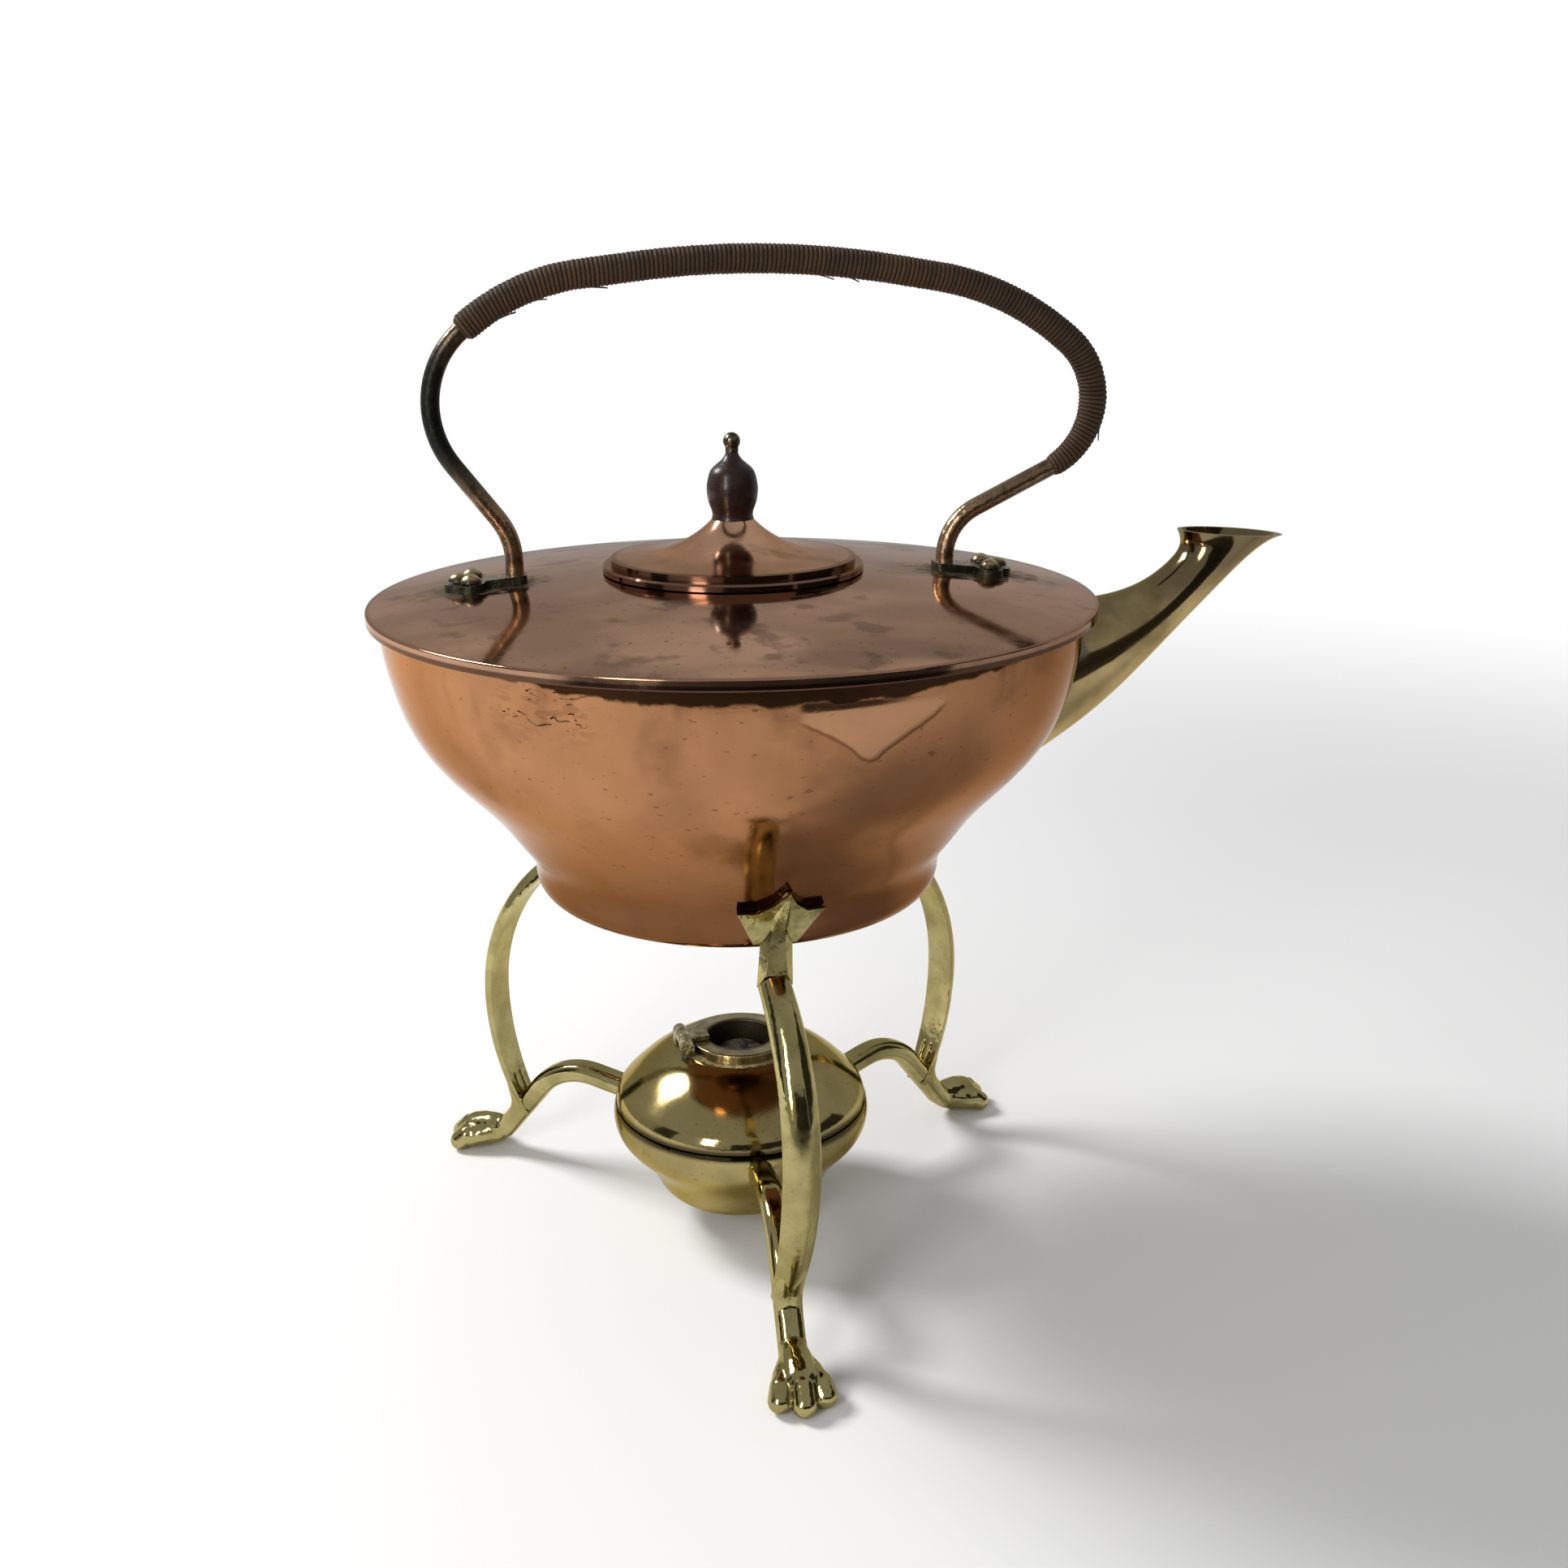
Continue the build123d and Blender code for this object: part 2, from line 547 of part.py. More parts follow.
def leg(side):
    """Half-round bar, flat inside, narrower at the top and the ankle, ending in the strut."""
    upper, lower = leg_line()
    bar = leg_bar(upper, 1, LEG_TOP_WIDTH, LEG_TOP_THICKNESS)
    bar += leg_bar(lower, -1, LEG_ANKLE_WIDTH, LEG_ANKLE_THICKNESS)
    foot = lower @ 1
    bar = bar.rotate(Axis(foot, (upper @ 1) - foot), LEG_LEANS[side])
    bar = bar - strut_bar() - leaf_stem()
    return placed(bar.solids().sort_by(SortBy.VOLUME)[-1], LEG_ANGLES[side])


def strut_line():
    """Centre line of a strut and of the foot that it runs into."""
    start = at(CUP_RADIUS - CUP_WALL, STRUT_START_HEIGHT)
    arch = at(STRUT_ARCH_RADIUS, STRUT_ARCH_HEIGHT)
    heel = at(HEEL_RADIUS, STRUT_DEPTH / 2)
    end = at(HEEL_RADIUS + HEEL_BEND, STRUT_DEPTH / 2)
    return FilletPolyline(start, arch, heel, end, radius=[STRUT_ARCH_BEND, HEEL_BEND])


def strut_piece(first, last):
    """Rounded bar along some of the strut line's runs and bends."""
    path = Wire(strut_line().order_edges()[first:last + 1])
    plane = Plane(path @ 0, x_dir=(0, 1, 0), z_dir=path % 0)
    return sweep(plane * RectangleRounded(STRUT_WIDTH, STRUT_DEPTH, STRUT_CORNER), path=path)


def strut_bar():
    return strut_piece(0, 2) - cup_solid()


def strut(angle):
    return placed(strut_bar(), angle)


def capsule(start, end, radius):
    """Round bar with ball ends."""
    plane = Plane(start, z_dir=end - start)
    length = (end - start).length
    bar = plane * Pos(0, 0, length / 2) * Cylinder(radius, length)
    return bar + Pos(*start) * Sphere(radius) + Pos(*end) * Sphere(radius)


def paw(angle):
    """Three-toed foot: heel, instep and toes, flat on the floor."""
    points = [(HEEL_RADIUS + out, share * INSTEP_RADIUS) for out, share in INSTEP_CURVE]
    crown = Spline(*points)
    egg = revolve(closed(crown, Line(crown @ 1, crown @ 0)), Axis.X, 360)
    foot = strut_piece(3, 3) + Pos(0, 0, INSTEP_HEIGHT) * Rot(90, 0, 0) * egg
    for place in (-1, 0, 1):
        tip = TOE_RADIUS - TOE_BALL - abs(place) * TOE_SETBACK
        low = TOE_BALL - TOE_FLAT
        knuckle = Vector(tip - TOE_LENGTH, place * KNUCKLE_SPREAD, low + TOE_RISE)
        foot += capsule(knuckle, Vector(tip, place * TOE_SPREAD, low), TOE_BALL)
    above = Pos(HEEL_RADIUS, 0, RIM_RADIUS) * Box(RIM_RADIUS, RIM_RADIUS, 2 * RIM_RADIUS)
    foot = (foot & above) - strut_bar()
    return placed(foot.solids().sort_by(SortBy.VOLUME)[-1], angle)


def bowl_radius(height):
    """Outer radius of the bowl at a height on its wall."""
    level = Line(at(0, height), at(2 * RIM_RADIUS, height))
    return bowl_wall().intersect(level).vertices()[0].X


def wedge(inner, outer, depth):
    """Section that is wide towards the axis and narrow outside."""
    corners = [(-inner / 2, depth / 2), (inner / 2, depth / 2)]
    corners += [(outer / 2, -depth / 2), (-outer / 2, -depth / 2)]
    return make_face(Polyline(*corners, close=True))


def leaf_stem():
    """Ridge of the leaf, from the leg's top end up the back of the blade."""
    upper, lower = leg_line()
    width = LEG_TOP_WIDTH + LEAF_STEP
    depth = LEG_TOP_THICKNESS + LEAF_STEP
    foot = Plane(upper @ 1, x_dir=(0, 1, 0), z_dir=upper % 1)
    sections = [foot * wedge(width, width * STEM_TAPER, depth)]
    for share, wide, deep in LEAF_RIDGE:
        height = BASE_HEIGHT + LEAF_APEX_HEIGHT * share
        middle = bowl_radius(height) + LEAF_GAP + deep * depth * RIDGE_SINK
        place = Vector(middle, LEAF_LEAN * share, height)
        plane = Plane(place, x_dir=(0, 1, 0), z_dir=(0.3, 0, 1))
        sections.append(plane * wedge(width * wide, width * wide * RIDGE_TAPER, depth * deep))
    return loft(sections, ruled=True)


def leaf(angle):
    """Three-pointed leaf that follows the bowl, with the stem that carries it."""
    room = bowl_solid(LEAF_GAP, RIM_HEIGHT + 1)
    sheet = bowl_solid(LEAF_GAP + LEAF_SHEET, RIM_HEIGHT) - room
    half = LEAF_SPAN / 2
    tip_rise = LEAF_APEX_HEIGHT - LEAF_POINT_HEIGHT
    side = [(LEAF_WAIST / 2, LEAF_LOW_HEIGHT), (half, LEAF_POINT_HEIGHT)]
    side += [(share * half, LEAF_POINT_HEIGHT + up * tip_rise) for share, up in LEAF_NOTCH]
    outline = side + [(0, LEAF_APEX_HEIGHT)] + [(-y, up) for y, up in reversed(side)]
    lean = LEAF_LEAN / LEAF_APEX_HEIGHT
    flat = Polyline(*[Vector(0, y + lean * up, BASE_HEIGHT + up) for y, up in outline], close=True)
    prism = extrude(make_face(flat), RIM_RADIUS, dir=(1, 0, 0))
    joined = (prism & sheet) + (leaf_stem() - room)
    return placed(joined.solids().sort_by(SortBy.VOLUME)[-1], angle)


# ---- lamp cup ----
def cup_wall():
    """Outer line of the lamp cup above its flat base."""
    rise = CUP_HEIGHT - CUP_BASE_HEIGHT
    points = [at(share * CUP_RADIUS, CUP_BASE_HEIGHT + up * rise) for up, share in CUP_CURVE]
    return Spline(at(CUP_BASE_RADIUS, CUP_BASE_HEIGHT), *points)


def cup_shape(shrink, floor, top):
    """Solid with the cup's wall line, made smaller by shrink, between two levels."""
    wall = cup_wall()
    if shrink:
        wall = Spline(*offset_points(wall, -shrink, OFFSET_STEPS))
    low = wall @ 0
    high = wall @ 1
    closing = Polyline(high, at(high.X, max(top, high.Z) + 1), at(0, max(top, high.Z) + 1),
                       at(0, low.Z), low)
    return turned(wall, closing) & disc(2 * CUP_RADIUS, floor, top)


def cup_solid():
    return cup_shape(0, CUP_BASE_HEIGHT, CUP_HEIGHT)


def lamp_cup():
    return cup_solid() - cup_shape(CUP_WALL, CUP_BASE_HEIGHT + CUP_WALL, CUP_HEIGHT + 1)


# ---- lamp ----
def dome_line():
    """Upper line of the lamp's domed cover, from its edge in to the collar hole."""
    points = [at(share * DOME_EDGE_RADIUS, DOME_EDGE_HEIGHT + up * DOME_HEIGHT) for up, share in DOME_CURVE]
    return Spline(*points)


def dome_solid(shrink):
    """Everything under the domed cover, or under a smaller one."""
    line = dome_line()
    if shrink:
        line = Spline(*offset_points(line, -shrink, OFFSET_STEPS))
    low = line @ 0
    high = line @ 1
    bottom = CUP_BASE_HEIGHT
    under = turned(line, Polyline(high, at(0, high.Z), at(0, bottom), at(low.X, bottom), low))
    return under & disc(2 * CUP_RADIUS, DOME_EDGE_HEIGHT, COLLAR_TOP)


def lamp_dome():
    return dome_solid(0) - dome_solid(DOME_SHEET) - disc(COLLAR_SKIRT_RADIUS, 0, COLLAR_TOP)


def reservoir_solid(shrink):
    """Outer shape of the lamp's tank, which can be lifted out through the cup's rim."""
    floor = CUP_BASE_HEIGHT + CUP_WALL + shrink
    top = DOME_EDGE_HEIGHT + DOME_HEIGHT / 4
    mouth = (cup_wall() @ 1).X - CUP_WALL - LAMP_FIT - shrink
    return cup_shape(CUP_WALL + LAMP_FIT + shrink, floor, top + shrink) & disc(mouth, 0, top + shrink)


def lamp_reservoir():
    """Tank that stands on the cup's floor and meets the underside of the domed cover."""
    shell = reservoir_solid(0) - reservoir_solid(LAMP_WALL)
    return shell - (disc(2 * CUP_RADIUS, DOME_EDGE_HEIGHT, COLLAR_TOP) - dome_solid(DOME_SHEET))


def lamp_collar():
    """Thick ring with a step under it and a skirt down into the cover."""
    low = COLLAR_TOP - COLLAR_SKIRT
    body = ring(COLLAR_RADIUS, COLLAR_HOLE, DOME_EDGE_HEIGHT, COLLAR_TOP)
    rims = [e for e in body.edges().filter_by(GeomType.CIRCLE) if (e @ 0).Z > COLLAR_TOP - 0.01]
    body = fillet(rims, COLLAR_ROUND)
    body += ring(COLLAR_FOOT_RADIUS, COLLAR_HOLE, DOME_EDGE_HEIGHT, COLLAR_FOOT_TOP)
    above = body - dome_solid(0)
    skirt = ring(COLLAR_SKIRT_RADIUS - COLLAR_FIT, COLLAR_HOLE, low, COLLAR_FOOT_TOP)
    return above + skirt


def wick_tube():
    top = COLLAR_TOP - TUBE_DROP
    flange = disc(COLLAR_HOLE - TUBE_FIT, top - 2 * TUBE_WALL, top - TUBE_WALL)
    tube = disc(TUBE_RADIUS, top - TUBE_LENGTH, top)
    return (tube + flange) - disc(TUBE_RADIUS - TUBE_WALL, 0, COLLAR_TOP)


def wick():
    top = COLLAR_TOP - TUBE_DROP + WICK_RISE
    return disc(TUBE_RADIUS - TUBE_WALL - WICK_FIT, top - WICK_LENGTH, top)


def barrel(radius, low, high):
    """Round bar along the hinge, between two distances from its middle."""
    bar = Rot(-90, 0, 0) * Cylinder(radius, high - low)
    return Pos(HINGE_OUT, (low + high) / 2, HINGE_HEIGHT) * bar


def hinge_knuckles():
    """Fixed pair of knuckles, whose feet stand on the collar's step and the cover."""
    near = KNUCKLE / 2 + KNUCKLE_GAP
    far = near + KNUCKLE
    pair = []
    for low, high in ((near, far), (-far, -near)):
        foot = Pos(HINGE_OUT, (low + high) / 2, (DOME_EDGE_HEIGHT + HINGE_HEIGHT) / 2)
        foot = foot * Box(2 * BARREL_RADIUS, high - low, HINGE_HEIGHT - DOME_EDGE_HEIGHT)
        knuckle = foot + barrel(BARREL_RADIUS, low, high)
        knuckle -= barrel(PIN_RADIUS + PIN_HOLD, low - 1, high + 1)
        knuckle = knuckle - dome_solid(0) - disc(COLLAR_FOOT_RADIUS, 0, COLLAR_FOOT_TOP)
        pair.append(placed(knuckle.solids().sort_by(SortBy.VOLUME)[-1], HINGE_ANGLE))
    return Part() + pair


def hinge_pin():
    reach = 1.5 * KNUCKLE + KNUCKLE_GAP + PIN_END
    return placed(barrel(PIN_RADIUS, -reach, reach), HINGE_ANGLE)


def snuffer_arm():
    """Moving knuckle with the stub of its arm, lying over the collar's ring."""
    inner = COLLAR_HOLE
    low = COLLAR_TOP + ARM_GAP
    stub = Pos((inner + HINGE_OUT) / 2, 0, low + ARM_THICKNESS / 2)
    stub = stub * Box(HINGE_OUT - inner, KNUCKLE, ARM_THICKNESS)
    arm = stub + barrel(BARREL_RADIUS, -KNUCKLE / 2, KNUCKLE / 2)
    return placed(arm - barrel(PIN_RADIUS + PIN_FIT, -KNUCKLE, KNUCKLE), HINGE_ANGLE)


# ---- the whole object ----
def kettle_pieces():
    return {
        "kettle_bowl": kettle_bowl(),
        "top_plate": top_plate(),
        "spout": spout(),
        "handle_bar": handle_bar(),
        "handle_wrap": handle_wrap(),
        "handle_foot_rear": handle_foot(-1),
        "handle_foot_spout": handle_foot(1),
        "foot_rivets_rear": foot_rivets(-1),
        "foot_rivets_spout": foot_rivets(1),
    }


def lid_pieces():
    return {
        "lid": lid(),
        "lid_bezel": lid_bezel(),
        "lid_knob": lid_knob(),
        "knob_stud": knob_stud(),
        "knob_washer": knob_washer(),
        "knob_nut": knob_nut(),
    }


def stand_pieces():
    pieces = {"lamp_cup": lamp_cup()}
    for name, angle in LEG_ANGLES.items():
        pieces["leg_" + name] = leg(name)
        pieces["leaf_" + name] = leaf(angle)
        pieces["strut_" + name] = strut(angle)
        pieces["paw_" + name] = paw(angle)
    return pieces


def lamp_pieces():
    return {
        "lamp_reservoir": lamp_reservoir(),
        "lamp_dome": lamp_dome(),
        "lamp_collar": lamp_collar(),
        "wick_tube": wick_tube(),
        "wick": wick(),
        "hinge_knuckles": hinge_knuckles(),
        "hinge_pin": hinge_pin(),
        "snuffer_arm": snuffer_arm(),
    }


def all_pieces():
    """Every piece, moved so that the origin is under the middle of the whole object."""
    pieces = {**stand_pieces(), **kettle_pieces(), **lid_pieces(), **lamp_pieces()}
    boxes = [piece.bounding_box() for piece in pieces.values()]
    middle_x = (min(b.min.X for b in boxes) + max(b.max.X for b in boxes)) / 2
    middle_y = (min(b.min.Y for b in boxes) + max(b.max.Y for b in boxes)) / 2
    shift = Pos(-middle_x, -middle_y, 0)
    print("kettle axis at", round(-middle_x, 3), round(-middle_y, 3))
    return {name: shift * piece for name, piece in pieces.items()}


os.makedirs("parts", exist_ok=True)
for name, piece in all_pieces().items():
    export_step(piece, "parts/" + name + ".step")
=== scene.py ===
from functools import cached_property
from math import cos, pi, radians, sin, tan

import bmesh
import bpy
from mathutils import Matrix, Quaternion, Vector, noise


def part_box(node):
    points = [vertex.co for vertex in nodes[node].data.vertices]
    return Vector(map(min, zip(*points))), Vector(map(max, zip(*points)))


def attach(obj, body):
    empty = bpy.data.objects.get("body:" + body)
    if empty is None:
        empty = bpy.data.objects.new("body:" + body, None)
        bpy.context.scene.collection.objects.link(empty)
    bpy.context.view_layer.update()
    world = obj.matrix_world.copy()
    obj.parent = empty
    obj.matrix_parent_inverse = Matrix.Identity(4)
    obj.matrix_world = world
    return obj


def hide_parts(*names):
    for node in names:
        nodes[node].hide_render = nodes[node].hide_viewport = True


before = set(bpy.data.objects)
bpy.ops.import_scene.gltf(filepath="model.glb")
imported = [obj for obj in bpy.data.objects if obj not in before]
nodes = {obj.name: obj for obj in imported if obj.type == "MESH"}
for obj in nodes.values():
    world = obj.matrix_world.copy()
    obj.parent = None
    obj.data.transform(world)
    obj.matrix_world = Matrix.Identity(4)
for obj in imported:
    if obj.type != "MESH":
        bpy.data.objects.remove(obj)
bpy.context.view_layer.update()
scene = bpy.context.scene


# ---- struts and legs ----
# Three bowed half-round legs are brazed onto S-shaped struts that run out from the lamp cup.
# All are sand-cast yellow brass, filed and hand-polished, dull and brown where a cloth
# doesn't reach.
class Tone:
    """What a node gives, over a surface; arithmetic on a number adds Math nodes."""

    def __init__(self, finish, socket):
        self.finish = finish
        self.socket = socket

    def twin(self, output):
        """Another output of the same node."""
        return Tone(self.finish, self.socket.node.outputs[output])

    def __add__(self, other):
        return self.finish.maths("ADD", self, other)

    def __sub__(self, other):
        return self.finish.maths("SUBTRACT", self, other)

    def __rsub__(self, other):
        return self.finish.maths("SUBTRACT", other, self)

    def __mul__(self, other):
        return self.finish.maths("MULTIPLY", self, other)

    def __truediv__(self, other):
        return self.finish.maths("DIVIDE", self, other)

    def __pow__(self, other):
        return self.finish.maths("POWER", self, other)

    def __abs__(self):
        return self.finish.maths("ABSOLUTE", self)

    __radd__ = __add__
    __rmul__ = __mul__


class Finish:
    """The finish of a surface: one shader, and the nodes that vary it from place to place."""

    def __init__(self, name, settings, kept_in=bpy.data.materials, shader="Principled BSDF"):
        self.material = kept_in.new(name)
        self.material.use_nodes = True
        self.tree = self.material.node_tree
        self.shader = self.tree.nodes[shader]
        for socket, value in settings.items():
            self.shader.inputs[socket].default_value = value

    @cached_property
    def place(self):
        """Where each point lies, in metres from the middle of the whole object's base."""
        return self.node("ShaderNodeTexCoord", {}, {}, "Object")

    def node(self, kind, settings, sockets, output=0):
        """A node of any kind: its settings come first, then a value or a link for each socket."""
        made = self.tree.nodes.new(kind)
        for name, value in settings.items():
            setattr(made, name, value)
        for name, value in sockets.items():
            if isinstance(value, Tone):
                self.tree.links.new(value.socket, made.inputs[name])
            else:
                made.inputs[name].default_value = value
        return Tone(self, made.outputs[output])

    def maths(self, operation, *numbers):
        return self.node("ShaderNodeMath", {"operation": operation}, dict(enumerate(numbers)))

    def drive(self, name, tone):
        self.tree.links.new(tone.socket, self.shader.inputs[name])

    def between(self, tone, low, high):
        """0 up to low, 1 from high on, and a smooth step between them; low may be the larger."""
        sockets = {"Value": tone, "From Min": low, "From Max": high}
        return self.node("ShaderNodeMapRange", {"interpolation_type": "SMOOTHSTEP"}, sockets)

    def mottle(self, scale, low=0.35, high=0.65, detail=4.0, stretch=(1, 1, 1), at=None):
        """Soft patches, from 0 to 1: scale is patches to the metre, a wide low to high is softer,
        detail is layers of finer patches, and a stretch under 1 makes streaks along that axis."""
        where = at or self.place
        if stretch != (1, 1, 1):
            where = self.node("ShaderNodeVectorMath", {"operation": "MULTIPLY"}, {0: where, 1: stretch})
        cloud = self.node("ShaderNodeTexNoise", {}, {"Vector": where, "Scale": scale, "Detail": detail})
        return self.between(cloud, low, high)

    def mix(self, share, first, second):
        """A colour between two; 6, 7 and 2 are the Mix node's colour sockets."""
        return self.node("ShaderNodeMix", {"data_type": "RGBA"}, {0: share, 6: first, 7: second}, 2)

    def apart(self, centre):
        """Distances from a centre along X, Y and Z."""
        moved = self.node("ShaderNodeVectorMath", {"operation": "SUBTRACT"}, {0: self.place, 1: centre})
        x = self.node("ShaderNodeSeparateXYZ", {}, {0: moved})
        return x, x.twin(1), x.twin(2)

    def around(self, centre):
        """For a turned piece: distance from its axis, turn about it in radians, and height."""
        x, y, height = self.apart(centre)
        return (x * x + y * y) ** 0.5, self.maths("ARCTAN2", y, x), height

    def relief(self, height, depth, strength=1.0):
        """Small hollows and ridges; depth is in metres."""
        sockets = {"Height": height, "Distance": depth, "Strength": strength}
        self.drive("Normal", self.node("ShaderNodeBump", {}, sockets))

    def wear_on(self, *names):
        for name in names:
            nodes[name].data.materials.clear()
            nodes[name].data.materials.append(self.material)


cup_low, cup_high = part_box("lamp_cup")
# the axis of the lamp and the kettle, at the floor
CENTRE = Vector(((cup_low.x + cup_high.x) / 2, (cup_low.y + cup_high.y) / 2, 0))
# each leg's turn about that axis, in degrees
SIDES = {"front": 272.2, "right": 31.6, "left": 148.8}
BRASS_TINT = (0.85, 0.78, 0.55, 1)
BRASS_BRIGHT = (0.44, 0.380, 0.170, 1)
BRASS_DULL = (0.33, 0.280, 0.115, 1)
BRASS_BROWN = (0.14, 0.105, 0.045, 1)

cast_brass = Finish("cast_brass", {"Metallic": 1.0, "Specular Tint": BRASS_TINT})
cloud = cast_brass.mottle(90)
pits = cast_brass.mottle(900, 0.60, 0.72, 2.0)
grime_and_rim_shade = cast_brass.mottle(45, 0.56, 0.74, 6.0)
rub = cast_brass.mottle(1500, 0.3, 0.7, 3.0, (1, 1, 0.12))
colour = cast_brass.mix(cloud, BRASS_BRIGHT, BRASS_DULL)
colour = cast_brass.mix(grime_and_rim_shade * 0.30, colour, BRASS_BROWN)
colour = cast_brass.mix(pits * 0.35, colour, BRASS_BROWN)
cast_brass.drive("Base Color", colour)
cast_brass.drive("Roughness", 0.055 + cloud * 0.06 + grime_and_rim_shade * 0.12 + rub * 0.04)
cast_brass.relief(cast_brass.mottle(140, 0.2, 0.8, 2.0) + rub * 0.03 - pits * 0.06, 0.0004, 0.30)
for side in SIDES:
    cast_brass.wear_on(f"leg_{side}", f"strut_{side}")


# ---- paws ----
# Each strut ends in a cast lion's paw with three round toes, one casting with the strut. The
# heel bends flat onto the floor, the instep swells, and the toes are chased apart with deep
# grooves that hold dark old polish.
PAW_GRAIN = 0.00040        # voxel of the melted skin, in metres
EASE_ROUNDS = 5            # rounds of smoothing on it
GROOVE_ROUNDS = 3          # rounds that even out the groove's depth from point to point
GROOVE_CONTRAST = 9.0
BALLS = 7                  # balls from one corner of a chain to the next
# the foot's chains of balls: distance from the axis, sideways, height and radius, in mm
SHIN = ((85.6, 1.6, 30.0, 2.1), (84.3, 1.7, 26.0, 2.3), (82.9, 1.4, 21.8, 2.75), (83.3, 1.0, 17.5, 3.2))
ANKLE = ((83.3, 0.9, 17.5, 3.25), (85.6, 0.8, 14.0, 3.25), (88.6, 0.8, 10.4, 3.25), (92.6, 0.8, 6.6, 3.6),
         (96.4, 0.6, 5.0, 3.9), (100.0, 0.5, 4.4, 4.0))
INSTEP = ((90.4, 0, 9.0, 3.6), (94.5, 0, 8.3, 4.5), (98.4, 0, 7.3, 5.2), (101.4, 0, 6.3, 5.4))
BRIDGE = ((95.0, 1.4, 6.8, 3.9), (98.6, 3.3, 6.0, 3.9), (101.4, 4.3, 5.0, 3.9))
MIDDLE_TOE = ((100.0, 0, 8.4, 3.0), (104.6, 0, 7.0, 3.35), (107.9, 0, 3.5, 3.55))
SIDE_TOE = ((99.2, 3.4, 7.0, 3.0), (102.6, 5.4, 5.7, 3.3), (105.0, 6.2, 3.45, 3.45))
# the front leg's bow leans: sideways to each unit of height, above the ankle's height in metres
SHIN_LEAN = {"front": 0.11, "right": 0.0, "left": 0.0}
LEAN_FROM = 0.020
OLD_POLISH = (0.035, 0.025, 0.012, 1)


def chain_of_balls(build, chain, mirror, lean=0.0):
    """Overlapping balls along a chain; mirror is 1, or -1 for the foot's other side."""
    for (x0, y0, z0, r0), (x1, y1, z1, r1) in zip(chain, chain[1:]):
        for step in range(BALLS + 1):
            share = step / BALLS
            middle = Vector((x0, y0 * mirror, z0)).lerp(Vector((x1, y1 * mirror, z1)), share) / 1000
            middle.y += lean * max(0.0, middle.z - LEAN_FROM)
            radius = (r0 + (r1 - r0) * share) / 1000
            moved = Matrix.Translation(middle)
            bmesh.ops.create_icosphere(build, subdivisions=3, radius=radius, matrix=moved)


def melted(name, build):
    """One smooth skin round everything in the mesh."""
    mesh = bpy.data.meshes.new(name)
    build.to_mesh(mesh)
    build.free()
    piece = bpy.data.objects.new(name, mesh)
    scene.collection.objects.link(piece)
    skin = piece.modifiers.new("skin", "REMESH")
    skin.mode = "VOXEL"
    skin.voxel_size = PAW_GRAIN
    skin.use_smooth_shade = True
    ease = piece.modifiers.new("ease", "SMOOTH")
    ease.factor = 0.5
    ease.iterations = EASE_ROUNDS
    done = bpy.data.meshes.new_from_object(piece.evaluated_get(bpy.context.evaluated_depsgraph_get()))
    piece.modifiers.clear()
    piece.data = done
    return piece


def mark_grooves(mesh):
    """Keeps on each point how deep it lies between its neighbours, from 0 to 1."""
    build = bmesh.new()
    build.from_mesh(mesh)
    depths = []
    for vert in build.verts:
        ring = [edge.other_vert(vert).co for edge in vert.link_edges]
        middle = sum(ring, Vector()) / len(ring)
        depths.append((middle - vert.co).dot(vert.normal) / PAW_GRAIN)
    for _ in range(GROOVE_ROUNDS):
        depths = [(depths[vert.index] + sum(depths[edge.other_vert(vert).index] for edge in vert.link_edges))
                  / (1 + len(vert.link_edges)) for vert in build.verts]
    build.free()
    groove = mesh.attributes.new("groove", "FLOAT", "POINT")
    groove.data.foreach_set("value", [min(1.0, max(0.0, depth * GROOVE_CONTRAST)) for depth in depths])


paw_brass = Finish("paw_brass", {"Metallic": 1.0, "Specular Tint": BRASS_TINT})
groove = paw_brass.node("ShaderNodeAttribute", {"attribute_name": "groove"}, {}, "Fac")
cloud = paw_brass.mottle(120)
colour = paw_brass.mix(cloud, BRASS_BRIGHT, BRASS_DULL)
colour = paw_brass.mix(groove, colour, OLD_POLISH)
paw_brass.drive("Base Color", colour)
paw_brass.drive("Roughness", 0.07 + cloud * 0.06 + groove * 0.35)
paw_brass.relief(paw_brass.mottle(300, 0.2, 0.8, 2.0), 0.0003, 0.3)

for side, angle in SIDES.items():
    build = bmesh.new()
    for chain in (SHIN, ANKLE, BRIDGE, SIDE_TOE):
        chain_of_balls(build, chain, 1, SHIN_LEAN[side])
        chain_of_balls(build, chain, -1, SHIN_LEAN[side])
    for chain in (INSTEP, MIDDLE_TOE):
        chain_of_balls(build, chain, 1)
    paw = melted(f"shaped_paw_{side}", build)
    for vert in paw.data.vertices:
        vert.co.z = max(vert.co.z, 0.0)
    mark_grooves(paw.data)
    paw.data.transform(Matrix.Translation(CENTRE) @ Matrix.Rotation(radians(angle), 4, "Z"))
    paw.data.materials.clear()
    paw.data.materials.append(paw_brass.material)
    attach(paw, "stand")
    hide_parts(f"paw_{side}")


# ---- leaf rests ----
# A cast three-pointed leaf closes the top of each leg and carries the kettle against its
# pointed blade. Its ridged stem steps down into the leg; file marks and dark corners are left.
leaf_brass = Finish("leaf_brass", {"Metallic": 1.0, "Specular Tint": BRASS_TINT})
cloud = leaf_brass.mottle(160)
corner = leaf_brass.mottle(110, 0.50, 0.68, 5.0)
filed = leaf_brass.mottle(1100, 0.3, 0.7, 3.0, (1, 1, 0.2))
colour = leaf_brass.mix(cloud, BRASS_BRIGHT, BRASS_DULL)
colour = leaf_brass.mix(corner * 0.75, colour, BRASS_BROWN)
leaf_brass.drive("Base Color", colour)
leaf_brass.drive("Roughness", 0.12 + cloud * 0.08 + corner * 0.16 + filed * 0.05)
leaf_brass.relief(leaf_brass.mottle(260, 0.2, 0.8, 2.0) + filed * 0.12, 0.0005, 0.4)
